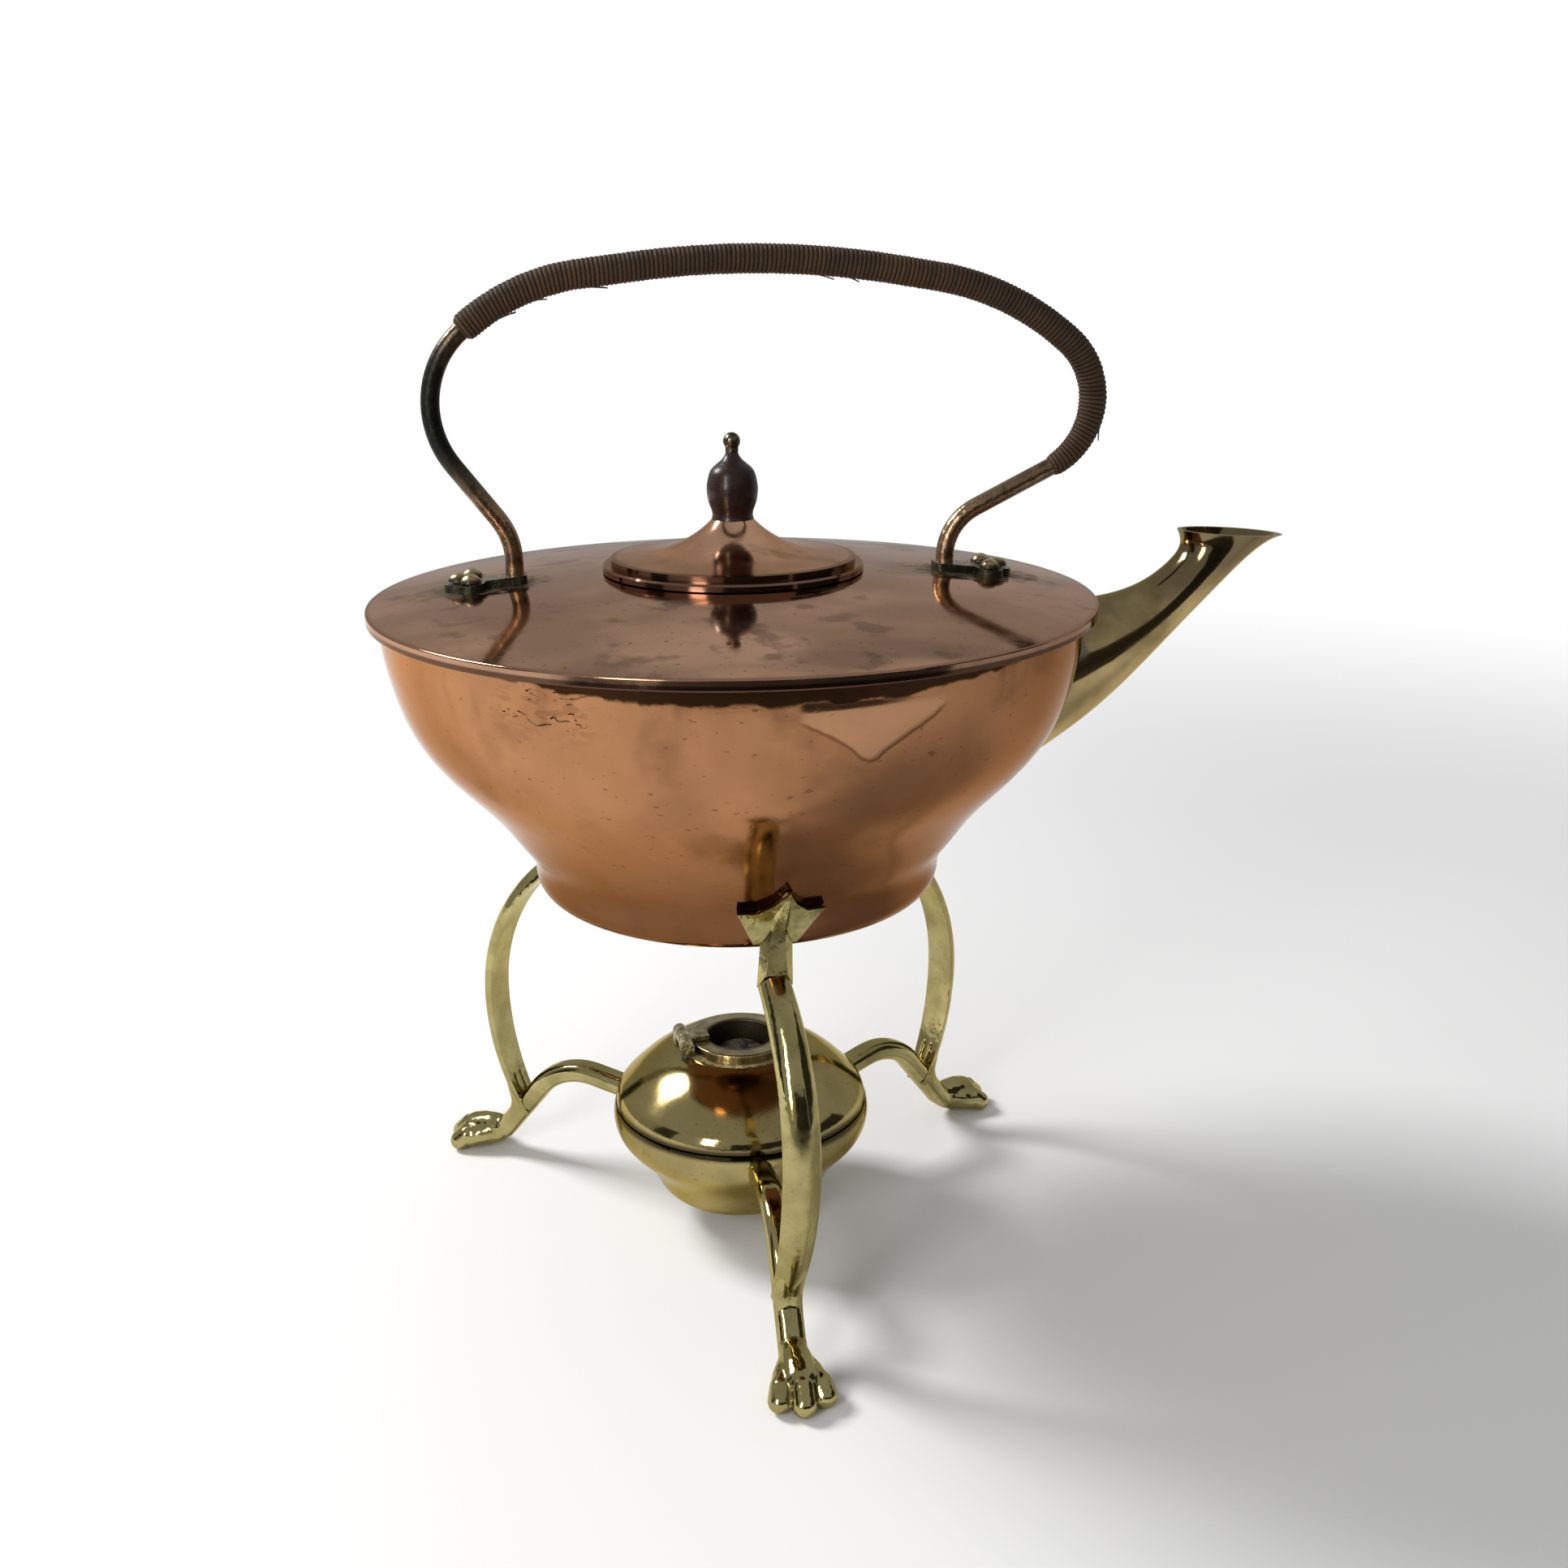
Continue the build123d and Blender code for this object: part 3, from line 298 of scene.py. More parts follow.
for side in SIDES:
    leaf_brass.wear_on(f"leaf_{side}")


# ---- lamp cup and lamp body ----
# The cup is spun from sheet brass and ties the three struts together. The lamp lifts out of
# it: a spun reservoir under a domed cover. Spinning leaves fine rings, and painted shade darkens
# a band along the seam where the cover meets the cup.
SPUN_BRIGHT = (0.40, 0.325, 0.140, 1)
SPUN_DULL = (0.31, 0.250, 0.105, 1)
SPUN_TARNISH = (0.20, 0.145, 0.055, 1)
# painted shade in the gap between the cover and the cup
SEAM_SHADE = (0.030, 0.020, 0.008, 1)
SEAM_HEIGHT = cup_high.z + 0.0002
SEAM_HALF = (0.0026, 0.0007)         # half the dark band's width, at its soft edge and at its full dark

spun_brass = Finish("spun_brass", {"Metallic": 1.0, "Specular Tint": (0.80, 0.70, 0.45, 1)})
reach, turn, height = spun_brass.around(CENTRE)
rings = spun_brass.node("ShaderNodeCombineXYZ", {}, {0: turn * 0.02, 1: reach, 2: height})
lines = spun_brass.mottle(2600, 0.3, 0.7, 2.0, at=rings)
cloud = spun_brass.mottle(60)
tarnish = spun_brass.mottle(28, 0.48, 0.72, 6.0)
specks = spun_brass.mottle(700, 0.64, 0.72, 2.0)
# painted shade along the seam
seam_shade = spun_brass.between(abs(height - SEAM_HEIGHT), *SEAM_HALF)
colour = spun_brass.mix(cloud, SPUN_BRIGHT, SPUN_DULL)
colour = spun_brass.mix(tarnish * 0.5, colour, SPUN_TARNISH)
colour = spun_brass.mix(specks * 0.5, colour, BRASS_BROWN)
colour = spun_brass.mix(seam_shade * 0.9, colour, SEAM_SHADE)
spun_brass.drive("Base Color", colour)
spun_brass.drive("Roughness", 0.07 + cloud * 0.05 + tarnish * 0.12 + lines * 0.04)
spun_brass.relief(spun_brass.mottle(45, 0.2, 0.8, 1.0) + lines * 0.02, 0.0006, 0.35)
spun_brass.wear_on("lamp_cup", "lamp_reservoir", "lamp_dome")


# ---- lamp collar and wick ----
# A thick brass ring stands round the lamp's opening, over the tube that holds the wick. The
# flame has blackened the inside of both, and charred the twisted cotton.
COLLAR_BRIGHT = (0.48, 0.40, 0.22, 1)
COLLAR_DULL = (0.30, 0.24, 0.12, 1)
SOOT = (0.025, 0.02, 0.016, 1)
SOOT_REACH = (0.0128, 0.0102)        # distance from the axis where soot begins, and where it is full

collar_brass = Finish("collar_brass", {"Metallic": 1.0})
reach, _, _ = collar_brass.around(CENTRE)
soot = collar_brass.between(reach, *SOOT_REACH)
cloud = collar_brass.mottle(130)
colour = collar_brass.mix(cloud, COLLAR_BRIGHT, COLLAR_DULL)
colour = collar_brass.mix(soot * 0.85, colour, SOOT)
collar_brass.drive("Base Color", colour)
collar_brass.drive("Roughness", 0.16 + cloud * 0.12 + soot * 0.4)
collar_brass.relief(collar_brass.mottle(420, 0.2, 0.8, 2.0), 0.0003, 0.3)
collar_brass.wear_on("lamp_collar", "wick_tube")

COTTON_PALE = (0.22, 0.18, 0.13, 1)
COTTON_SCORCHED = (0.09, 0.07, 0.05, 1)
COTTON_CHARRED = (0.012, 0.010, 0.009, 1)

cotton = Finish("charred_cotton", {"Metallic": 0.0, "Roughness": 0.95})
fibres = cotton.mottle(1600, 0.3, 0.7, 4.0, (1, 1, 0.25))
char = cotton.mottle(260, 0.35, 0.6)
colour = cotton.mix(fibres, COTTON_PALE, COTTON_SCORCHED)
colour = cotton.mix(char, colour, COTTON_CHARRED)
cotton.drive("Base Color", colour)
cotton.relief(fibres, 0.0006)
cotton.wear_on("wick")


# ---- snuffer hinge ----
# The snuffer's arm has broken off at its hinge: a fixed pair of brass knuckles beside the
# collar, the moving one between them with its stub, and their pin. Grey solder holds the fixed
# pair, low down at the end nearest the front leg.
HINGE_BRIGHT = (0.52, 0.44, 0.24, 1)
HINGE_DULL = (0.25, 0.20, 0.10, 1)
SOLDER = (0.12, 0.16, 0.19, 1)
SOLDER_HEIGHT = (0.0022, 0.0012)     # above the knuckles' lowest point: where it ends and is full
SOLDER_LENGTH = (0.0075, 0.0045)     # the same, from the knuckles' front end

hinge_brass = Finish("hinge_brass", {"Metallic": 1.0})
_, y, height = hinge_brass.apart(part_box("hinge_knuckles")[0])
solder = hinge_brass.between(height + hinge_brass.mottle(500) * 0.0012, *SOLDER_HEIGHT)
solder = solder * hinge_brass.between(y, *SOLDER_LENGTH)
cloud = hinge_brass.mottle(350)
colour = hinge_brass.mix(cloud, HINGE_BRIGHT, HINGE_DULL)
colour = hinge_brass.mix(solder, colour, SOLDER)
hinge_brass.drive("Base Color", colour)
hinge_brass.drive("Roughness", 0.20 + cloud * 0.15 + solder * 0.25)
hinge_brass.relief(hinge_brass.mottle(700, 0.2, 0.8, 2.0), 0.0004, 0.5)
hinge_brass.wear_on("hinge_knuckles", "hinge_pin", "snuffer_arm")


# ---- kettle bowl ----
# The bowl is spun from one sheet of copper and polished to a soft mirror. Long handling has
# left shallow dents, fine scratches round it and brown smudges. Painted shade darkens a band under
# the rim and the creases, painted dark reflections darken its lower part and the side by the spout,
# and a painted highlight brightens the knock.
BOWL_REACH = 0.1                     # the bowl's radius below the rim, which makes a turn a distance
COPPER_TINT = (0.80, 0.62, 0.50, 1)
COPPER_BRIGHT = (0.46, 0.222, 0.104, 1)
COPPER_ROSE = (0.335, 0.156, 0.072, 1)
COPPER_BROWN = (0.13, 0.055, 0.024, 1)
# painted dark reflection on the lower part
LOW_DARK_REFLECTION = (0.125, 0.050, 0.018, 1)
# painted dark reflection on the side by the spout
SIDE_DARK_REFLECTION = (0.20, 0.088, 0.045, 1)
STREAKED_COPPER = (0.13, 0.055, 0.032, 1)
# painted highlight in the knock
KNOCK_HIGHLIGHT_COPPER = (0.56, 0.31, 0.17, 1)
# painted shade in the creases
CREASE_SHADE_COPPER = (0.12, 0.045, 0.02, 1)
# painted shade under the rim
RIM_SHADE_COPPER = (0.020, 0.008, 0.004, 1)
STREAK_HEIGHT = (-0.026, -0.003)     # heights from the bowl's top: streaks begin, and are strongest
LOW_REFLECTION_HEIGHT = (-0.034, -0.074)     # painted dark reflection from here down, and full here

bowl_copper = Finish("bowl_copper", {"Metallic": 1.0, "Specular Tint": COPPER_TINT})
reach, turn, height = bowl_copper.around(CENTRE)
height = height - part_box("kettle_bowl")[1].z        # from here on, down from the bowl's top
wound = bowl_copper.node("ShaderNodeCombineXYZ", {}, {0: turn * 0.09, 1: height * 9.0, 2: reach})
lines = bowl_copper.mottle(420, 0.35, 0.65, 3.0, at=wound)
cloud = bowl_copper.mottle(26, 0.3, 0.7, 5.0)
smudge = bowl_copper.mottle(48, 0.54, 0.74, 7.0)
streak = bowl_copper.mottle(70, 0.55, 0.75, 5.0, (1, 1, 0.22)) * bowl_copper.between(height, *STREAK_HEIGHT)
nicks = bowl_copper.mottle(330, 0.66, 0.71, 3.0, (1, 1, 2.2))

# painted shade under the folded edge, thickest at the front and at the back
RIM_SHADE_THIN, RIM_SHADE_EXTRA = 0.0010, 0.0062
thickness = RIM_SHADE_THIN + bowl_copper.between(bowl_copper.maths("SINE", turn) ** 2, 0.30, 1.0) * RIM_SHADE_EXTRA
grime_and_rim_shade = bowl_copper.between(height + thickness + bowl_copper.mottle(130) * 0.0012, 0.0002, 0.0012)

# a knock with a pointed lower edge: turn and height of its point, and how steeply its sides rise
KNOCK_TURN, KNOCK_HEIGHT, KNOCK_RISE = -1.335, -0.0235, 0.66
KNOCK_POINT = 0.002                  # how blunt the point is
KNOCK_SIDE = (0.0205, 0.0170)        # from its middle to where it has gone, and to where it is full
KNOCK_TOP = (-0.0065, -0.0095)       # heights where it has gone, and where it is full
along = (turn - KNOCK_TURN) * BOWL_REACH
aside = (along * along + KNOCK_POINT ** 2) ** 0.5
rise = height - KNOCK_HEIGHT - aside * KNOCK_RISE + bowl_copper.mottle(60) * 0.0016
inside = bowl_copper.between(aside, *KNOCK_SIDE) * bowl_copper.between(height, *KNOCK_TOP)
# the knock's brighter colour is a painted highlight
knock = bowl_copper.between(rise, -0.0006, 0.0016) * inside
# painted shade along the knock's edge
knock_edge_shade = bowl_copper.between(abs(rise), 0.0008, 0.0002) * inside

# crumpled sheet under the rim, beside the front: a patch wider than it is tall
CRUMPLE_TURN, CRUMPLE_HEIGHT, CRUMPLE_FLATNESS = -2.16, -0.0115, 5.0
CRUMPLE_SIDE = (0.022, 0.008)        # from its middle to where it has gone, and to where it is full
along = (turn - CRUMPLE_TURN) * BOWL_REACH
above = height - CRUMPLE_HEIGHT
crumple = bowl_copper.between((along * along + above * above * CRUMPLE_FLATNESS) ** 0.5, *CRUMPLE_SIDE)
folds = bowl_copper.mottle(120, 0.50, 0.58, 2.0, (1, 1, 1.8)) * crumple
# painted shade along the crease lines
fold_line_shade = bowl_copper.mottle(95, 0.545, 0.575, 3.0, (1, 1, 2.4)) * crumple

# painted dark reflections, below and on the side by the spout
REFLECTION_SIDE_TURN = -0.35                 # turn of the middle of the side with the painted dark reflection
low_dark_reflection = bowl_copper.between(height + cloud * 0.014, *LOW_REFLECTION_HEIGHT)
hand_wear_and_side_reflection = bowl_copper.between(bowl_copper.maths("COSINE", turn - REFLECTION_SIDE_TURN) + cloud * 0.25, 0.35, 1.0)

colour = bowl_copper.mix(cloud, COPPER_BRIGHT, COPPER_ROSE)
# painted dark reflection of the shadowed floor, on the lower part
colour = bowl_copper.mix(low_dark_reflection * 0.8, colour, LOW_DARK_REFLECTION)
# painted dark reflection on the side by the spout
colour = bowl_copper.mix(hand_wear_and_side_reflection * 0.38, colour, SIDE_DARK_REFLECTION)
colour = bowl_copper.mix(smudge * 0.35, colour, COPPER_BROWN)
colour = bowl_copper.mix(streak * 0.65, colour, STREAKED_COPPER)
colour = bowl_copper.mix(nicks * 0.55, colour, COPPER_BROWN)
# painted highlight in the knock
colour = bowl_copper.mix(knock * 0.55, colour, KNOCK_HIGHLIGHT_COPPER)
# painted shade along the knock's edge and the crease lines
colour = bowl_copper.mix(knock_edge_shade * 0.6 + fold_line_shade * 0.3, colour, CREASE_SHADE_COPPER)
# painted shade in a band under the rim
colour = bowl_copper.mix(grime_and_rim_shade * 0.94, colour, RIM_SHADE_COPPER)
bowl_copper.drive("Base Color", colour)
rough = 0.075 + cloud * 0.05 + smudge * 0.10 + lines * 0.03
bowl_copper.drive("Roughness", rough + streak * 0.12 + grime_and_rim_shade * 0.2)
dents = bowl_copper.mottle(13, 0.1, 0.9, 1.0) + bowl_copper.mottle(55, 0.1, 0.9, 1.0) * 0.08
bowl_copper.relief(dents + lines * 0.002 - nicks * 0.012 + knock * 0.20 + folds * 0.35, 0.0022, 0.35)
bowl_copper.wear_on("kettle_bowl")


# ---- top plate ----
# A copper plate, dished so that its middle stands a little higher, is folded down over the
# bowl's mouth and soldered. Its polish is browner than the bowl's, with grey smudges dragged by
# the cloth, and verdigris round the feet of the handle.
FOLD_DEPTH = 0.0032                  # how far the plate's edge is folded down
FOLD_DARK_BAND = (0.0019, 0.0013)         # height of the dark band's edge above the fold's lower end
plate_low, plate_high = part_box("top_plate")
RIM_HEIGHT = plate_low.z + FOLD_DEPTH
RIM_RADIUS = (plate_high.y - plate_low.y) / 2
FOOT_REACH = 0.0725                  # from the axis to the middle of each handle foot
FOOT_LENGTHWISE = 0.42               # verdigris spreads further along the hoop than across it
VERDIGRIS_REACH = (0.0185, 0.0090)   # from a foot's middle, where it ends and where it is full
PLATE_BRIGHT = (0.84, 0.520, 0.350, 1)
PLATE_ROSE = (0.68, 0.410, 0.275, 1)
PLATE_WORN = (0.27, 0.172, 0.122, 1)
PLATE_SMUDGE = (0.17, 0.115, 0.09, 1)
PLATE_STAIN = (0.10, 0.075, 0.065, 1)
PLATE_SPECK = (0.05, 0.035, 0.03, 1)
PLATE_EDGE = (0.36, 0.200, 0.125, 1)
FOLD_FOOT_DARK = (0.055, 0.030, 0.020, 1)
VERDIGRIS = (0.075, 0.085, 0.065, 1)

plate_copper = Finish("plate_copper", {"Metallic": 1.0, "Specular Tint": (0.82, 0.70, 0.62, 1)})
x, y, height = plate_copper.apart(CENTRE)
reach = (x * x + y * y) ** 0.5
cloud = plate_copper.mottle(30, 0.3, 0.7, 5.0)
worn = plate_copper.mottle(17, 0.42, 0.62, 3.0)
dragged = plate_copper.mottle(42, 0.52, 0.70, 7.0, (0.45, 1, 1))
stain = plate_copper.mottle(85, 0.57, 0.69, 6.0)
specks = plate_copper.mottle(620, 0.67, 0.73, 2.0)
scuff = plate_copper.mottle(900, 0.35, 0.7, 3.0, (0.12, 1, 1))
lengthwise = abs(x) - FOOT_REACH
from_foot = (lengthwise * lengthwise * FOOT_LENGTHWISE + y * y) ** 0.5
verdigris = plate_copper.between(from_foot + plate_copper.mottle(260) * 0.006, *VERDIGRIS_REACH)
edge = plate_copper.between(reach, RIM_RADIUS - 0.0016, RIM_RADIUS - 0.0004)
# darker along the lower end of the folded edge
fold = edge * plate_copper.between(height - plate_low.z, *FOLD_DARK_BAND)
colour = plate_copper.mix(cloud, PLATE_BRIGHT, PLATE_ROSE)
colour = plate_copper.mix(worn * 0.60, colour, PLATE_WORN)
colour = plate_copper.mix(dragged * 0.45, colour, PLATE_SMUDGE)
colour = plate_copper.mix(stain * 0.5, colour, PLATE_STAIN)
colour = plate_copper.mix(specks * 0.6, colour, PLATE_SPECK)
colour = plate_copper.mix(edge * 0.85, colour, PLATE_EDGE)
colour = plate_copper.mix(fold * 0.85, colour, FOLD_FOOT_DARK)
colour = plate_copper.mix(verdigris * 0.85, colour, VERDIGRIS)
plate_copper.drive("Base Color", colour)
rough = 0.055 + cloud * 0.03 + dragged * 0.10 + stain * 0.10
plate_copper.drive("Roughness", rough + scuff * 0.03 + verdigris * 0.35)
plate_copper.relief(plate_copper.mottle(12, 0.1, 0.9, 1.0) + scuff * 0.002 + verdigris * 0.03, 0.0012, 0.35)
plate_copper.wear_on("top_plate")


# ---- spout ----
# The spout is seamed from brass sheet and soldered to the bowl; grey solder shows along the
# upper part of the joint. It is polished below and has gone brown on top.
SPOUT_BRIGHT = (0.52, 0.40, 0.19, 1)
SPOUT_DULL = (0.39, 0.290, 0.130, 1)
SPOUT_TARNISH = (0.16, 0.095, 0.045, 1)
SPOUT_AGED = (0.105, 0.080, 0.048, 1)
SPOUT_SOLDER = (0.20, 0.215, 0.20, 1)
JOINT_REACH = (RIM_RADIUS + 0.0012, RIM_RADIUS - 0.0020)     # solder ends out here, and is full here
JOINT_HEIGHT = (-0.024, -0.014)      # heights from the rim: solder begins, and is full
AGED_HEIGHT = (-0.040, -0.028)       # brown begins, and is full
AGED_SLOPE = 0.25                    # the brown starts higher with distance from the axis

spout_brass = Finish("spout_brass", {"Metallic": 1.0, "Specular Tint": (0.85, 0.74, 0.52, 1)})
reach, _, height = spout_brass.around(CENTRE)
height = height - RIM_HEIGHT
joint = spout_brass.between(reach + spout_brass.mottle(240) * 0.002, *JOINT_REACH)
joint = joint * spout_brass.between(height + spout_brass.mottle(120) * 0.004, *JOINT_HEIGHT)
aged = spout_brass.between(height - reach * AGED_SLOPE + spout_brass.mottle(70) * 0.005, *AGED_HEIGHT)
cloud = spout_brass.mottle(55, 0.3, 0.7, 5.0)
tarnish = spout_brass.mottle(38, 0.50, 0.72, 6.0)
scuff = spout_brass.mottle(800, 0.4, 0.7, 3.0, (1, 1, 0.2))
colour = spout_brass.mix(cloud, SPOUT_BRIGHT, SPOUT_DULL)
colour = spout_brass.mix(tarnish * 0.6, colour, SPOUT_TARNISH)
colour = spout_brass.mix(aged * 0.72, colour, SPOUT_AGED)
colour = spout_brass.mix(joint * 0.8, colour, SPOUT_SOLDER)
spout_brass.drive("Base Color", colour)
spout_brass.drive("Roughness", 0.065 + cloud * 0.05 + tarnish * 0.10 + joint * 0.3 + scuff * 0.03)
spout_brass.relief(spout_brass.mottle(40, 0.1, 0.9, 1.0) + scuff * 0.01 + joint * 0.05, 0.0008, 0.35)
spout_brass.wear_on("spout")


# ---- handle bar ----
# The hoop is one bent copper-alloy bar. Bare metal is brown-black, rubbed brighter near the
# feet, and its rear bend has gone nearly black below the grip.
BAR_BROWN = (0.13, 0.095, 0.06, 1)
BAR_RUBBED = (0.33, 0.215, 0.125, 1)
BAR_SPOT = (0.05, 0.035, 0.025, 1)
BAR_BLACK = (0.012, 0.016, 0.016, 1)
RUBBED_HEIGHT = (0.262, 0.225)       # rubbed from the first height down, and fully below the second
BLACK_HEIGHT = (0.232, 0.246)        # black from the first height up
BLACK_BACK = (-0.074, -0.086)        # and behind these distances from the axis

bar_bronze = Finish("bar_bronze", {"Metallic": 1.0})
x, _, height = bar_bronze.apart(CENTRE)
cloud = bar_bronze.mottle(60, 0.3, 0.7, 5.0)
rubbed = bar_bronze.between(height + cloud * 0.03, *RUBBED_HEIGHT)
black = bar_bronze.between(x - cloud * 0.01, *BLACK_BACK) * bar_bronze.between(height, *BLACK_HEIGHT)
colour = bar_bronze.mix(rubbed, BAR_BROWN, BAR_RUBBED)
colour = bar_bronze.mix(bar_bronze.mottle(170, 0.5, 0.7) * 0.7, colour, BAR_SPOT)
colour = bar_bronze.mix(black * 0.9, colour, BAR_BLACK)
bar_bronze.drive("Base Color", colour)
bar_bronze.drive("Roughness", 0.24 + cloud * 0.14 + black * 0.15)
bar_bronze.relief(bar_bronze.mottle(500, 0.2, 0.8, 3.0), 0.0003, 0.4)
bar_bronze.wear_on("handle_bar")


# ---- handle feet and rivets ----
# Two cast feet carry the ends of the hoop, each held to the plate by three round-headed brass
# rivets. Old polish blackens the hollows, and only faces and heads that look up are rubbed clean.
FOOT_DARK = (0.045, 0.045, 0.032, 1)
FOOT_RUBBED = (0.34, 0.26, 0.14, 1)
RIVET_DARK = (0.05, 0.045, 0.03, 1)
RIVET_RUBBED = (0.62, 0.47, 0.25, 1)
CROWN_HEIGHT = (-0.0019, -0.0004)    # from the top of the rivets: the head shines from here up

foot_brass = Finish("foot_brass", {"Metallic": 1.0})
facing = foot_brass.node("ShaderNodeNewGeometry", {}, {}, "Normal")
up = foot_brass.node("ShaderNodeSeparateXYZ", {}, {0: facing}, 2)
cloud = foot_brass.mottle(420, 0.35, 0.65, 3.0)
worn = foot_brass.between(up, 0.35, 0.9) * (1 - cloud * 0.6)
foot_brass.drive("Base Color", foot_brass.mix(worn, FOOT_DARK, FOOT_RUBBED))
foot_brass.drive("Roughness", 0.45 - worn * 0.22)
foot_brass.relief(cloud, 0.0003, 0.5)
foot_brass.wear_on("handle_foot_rear", "handle_foot_spout")

rivet_brass = Finish("rivet_brass", {"Metallic": 1.0})
_, _, height = rivet_brass.apart((0, 0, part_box("foot_rivets_rear")[1].z))
cloud = rivet_brass.mottle(500, 0.35, 0.65, 3.0)
crown = rivet_brass.between(height, *CROWN_HEIGHT) * (1 - cloud * 0.3)
rivet_brass.drive("Base Color", rivet_brass.mix(crown, RIVET_DARK, RIVET_RUBBED))
rivet_brass.drive("Roughness", 0.40 - crown * 0.26)
rivet_brass.relief(cloud, 0.0002, 0.4)
rivet_brass.wear_on("foot_rivets_rear", "foot_rivets_spout")


# ---- wound grip ----
# The grip is one long strand of split cane, wound tightly round the bar from just above the
# rear bend to below the spout-side bend, and darkened by hands. Fibres have frayed loose in
# a few places underneath.
BAR = 0.0026                 # radius of the bar
GRIP = 0.0042                # radius over the cane, with room for its unevenness
STRAND = 0.00125             # from one turn of the cane to the next
BETWEEN_STRANDS = 0.00050    # how much less than GRIP the radius is between two turns
STRAND_STANDS = 0.00036      # how far each turn stands out from there
UNEVEN = 0.00010             # how far the cane's thickness varies
SWELLS = 160                 # its slow swellings to the metre
SWELL_ROW = 3.1              # row of the noise that they are read from
TURN_APART = 0.73            # how far apart two turns lie in the noise
THIN_END = 0.40              # share of the cane's thickness that is left at the spout's end
THIN_LENGTH = 0.022          # length over which it thins
RINGS_TO_TURN = 6
POINTS_ROUND = 30
END_RINGS = 8                # rings over which each end rounds down to the bar
TRACE = 0.0005               # spacing of points along the hoop's line
GRIP_BENDS = (2, 6)          # the grip runs from the end of one of the hoop's bends to another's
ACROSS = Vector((0, 1, 0))
# corners of the hoop's middle line, in mm: distance from the axis, height above the rim, radius
HOOP = ((-62.8, 2.2, 0), (-62.8, 18.4, 20.0), (-93.4, 58.6, 26.7), (-59.2, 87.4, 62.0), (10.9, 96.0, 264.0),
        (80.8, 84.9, 80.0), (123.2, 49.35, 21.5), (62.8, 19.1, 16.0), (62.8, 2.2, 0))
CANE_BROWN = (0.072, 0.038, 0.017, 1)
CANE_DARK = (0.038, 0.020, 0.009, 1)
CANE_PALE = (0.105, 0.060, 0.028, 1)
CANE_GREASY = (0.030, 0.017, 0.010, 1)
CANE_GAP = (0.010, 0.006, 0.004, 1)


def hoop_points(first, last):
    """Points along the hoop, over the X axis, from the end of one bend to the end of another."""
    corners = [Vector((x / 1000, 0, RIM_HEIGHT + up / 1000)) for x, up, radius in HOOP]
    line = []
    for index in range(1, len(corners) - 1):
        here = corners[index]
        back = (corners[index - 1] - here).normalized()
        on = (corners[index + 1] - here).normalized()
        half = (pi - back.angle(on)) / 2
        radius = HOOP[index][2] / 1000
        middle = here + (back + on).normalized() * (radius / cos(half))
        start = here + back * radius * tan(half) - middle
        stop = here + on * radius * tan(half) - middle
        sweep = start.rotation_difference(stop)
        count = max(4, int(radius * half * 2 / TRACE))
        for step in range(count + 1):
            line.append((index, middle + Quaternion().slerp(sweep, step / count) @ start))
    begin = max(place for place, (index, point) in enumerate(line) if index == first)
    end = max(place for place, (index, point) in enumerate(line) if index == last)
    return [point for index, point in line[begin:end + 1]]


def evenly(points, step):
    """The same line with points a fixed step apart, and its direction at each."""
    out, spare = [], 0.0
    for here, there in zip(points, points[1:]):
        span = (there - here).length
        while spare < span:
            out.append((here.lerp(there, spare / span), (there - here).normalized()))
            spare += step
        spare -= span
    return out


def cane_ring(far, before, after):
    """Angle and radius of each point round one ring of the grip: far is the metres of grip before
    it, and before and after are the numbers of rings."""
    left = after * STRAND / RINGS_TO_TURN
    thinned = THIN_END + (1 - THIN_END) * min(1.0, left / THIN_LENGTH) ** 0.7
    rings_to_end = min(before, after)
    swell = noise.noise(Vector((far * SWELLS, SWELL_ROW, 0))) * UNEVEN
    for step in range(POINTS_ROUND):
        angle = 2 * pi * step / POINTS_ROUND
        strand = far / STRAND + step / POINTS_ROUND
        ridge = abs(sin(pi * strand)) ** 0.6
        slack = noise.noise(Vector((int(strand) * TURN_APART, cos(angle), sin(angle)))) * UNEVEN
        radius = GRIP - BETWEEN_STRANDS + STRAND_STANDS * ridge + swell + slack
        radius = BAR + (radius - BAR) * thinned
        if rings_to_end < END_RINGS:
            radius = BAR + (radius - BAR) * (rings_to_end / END_RINGS) ** 0.5
        yield angle, radius


def wound_cane():
    """The winding as one skin; its UV holds the share of the way round and the metres along."""
    line = evenly(hoop_points(*GRIP_BENDS), STRAND / RINGS_TO_TURN)
    build = bmesh.new()
    winding = build.loops.layers.uv.new("winding")
    rings = []
    for index, (point, ahead) in enumerate(line):
        out = ahead.cross(ACROSS).normalized()
        far = index * STRAND / RINGS_TO_TURN
        ring = [build.verts.new(point + (ACROSS * cos(angle) + out * sin(angle)) * radius)
                for angle, radius in cane_ring(far, index, len(line) - 1 - index)]
        rings.append((far, ring))
    for (far, ring), (farther, following) in zip(rings, rings[1:]):
        for step in range(POINTS_ROUND):
            on = (step + 1) % POINTS_ROUND
            face = build.faces.new((ring[step], ring[on], following[on], following[step]))
            face.smooth = True
            spots = ((step, far), (step + 1, far), (step + 1, farther), (step, farther))
            for loop, (place, along) in zip(face.loops, spots):
                loop[winding].uv = (place / POINTS_ROUND, along)
    bmesh.ops.recalc_face_normals(build, faces=build.faces)
    mesh = bpy.data.meshes.new("wound_grip")
    build.to_mesh(mesh)
    build.free()
    return mesh


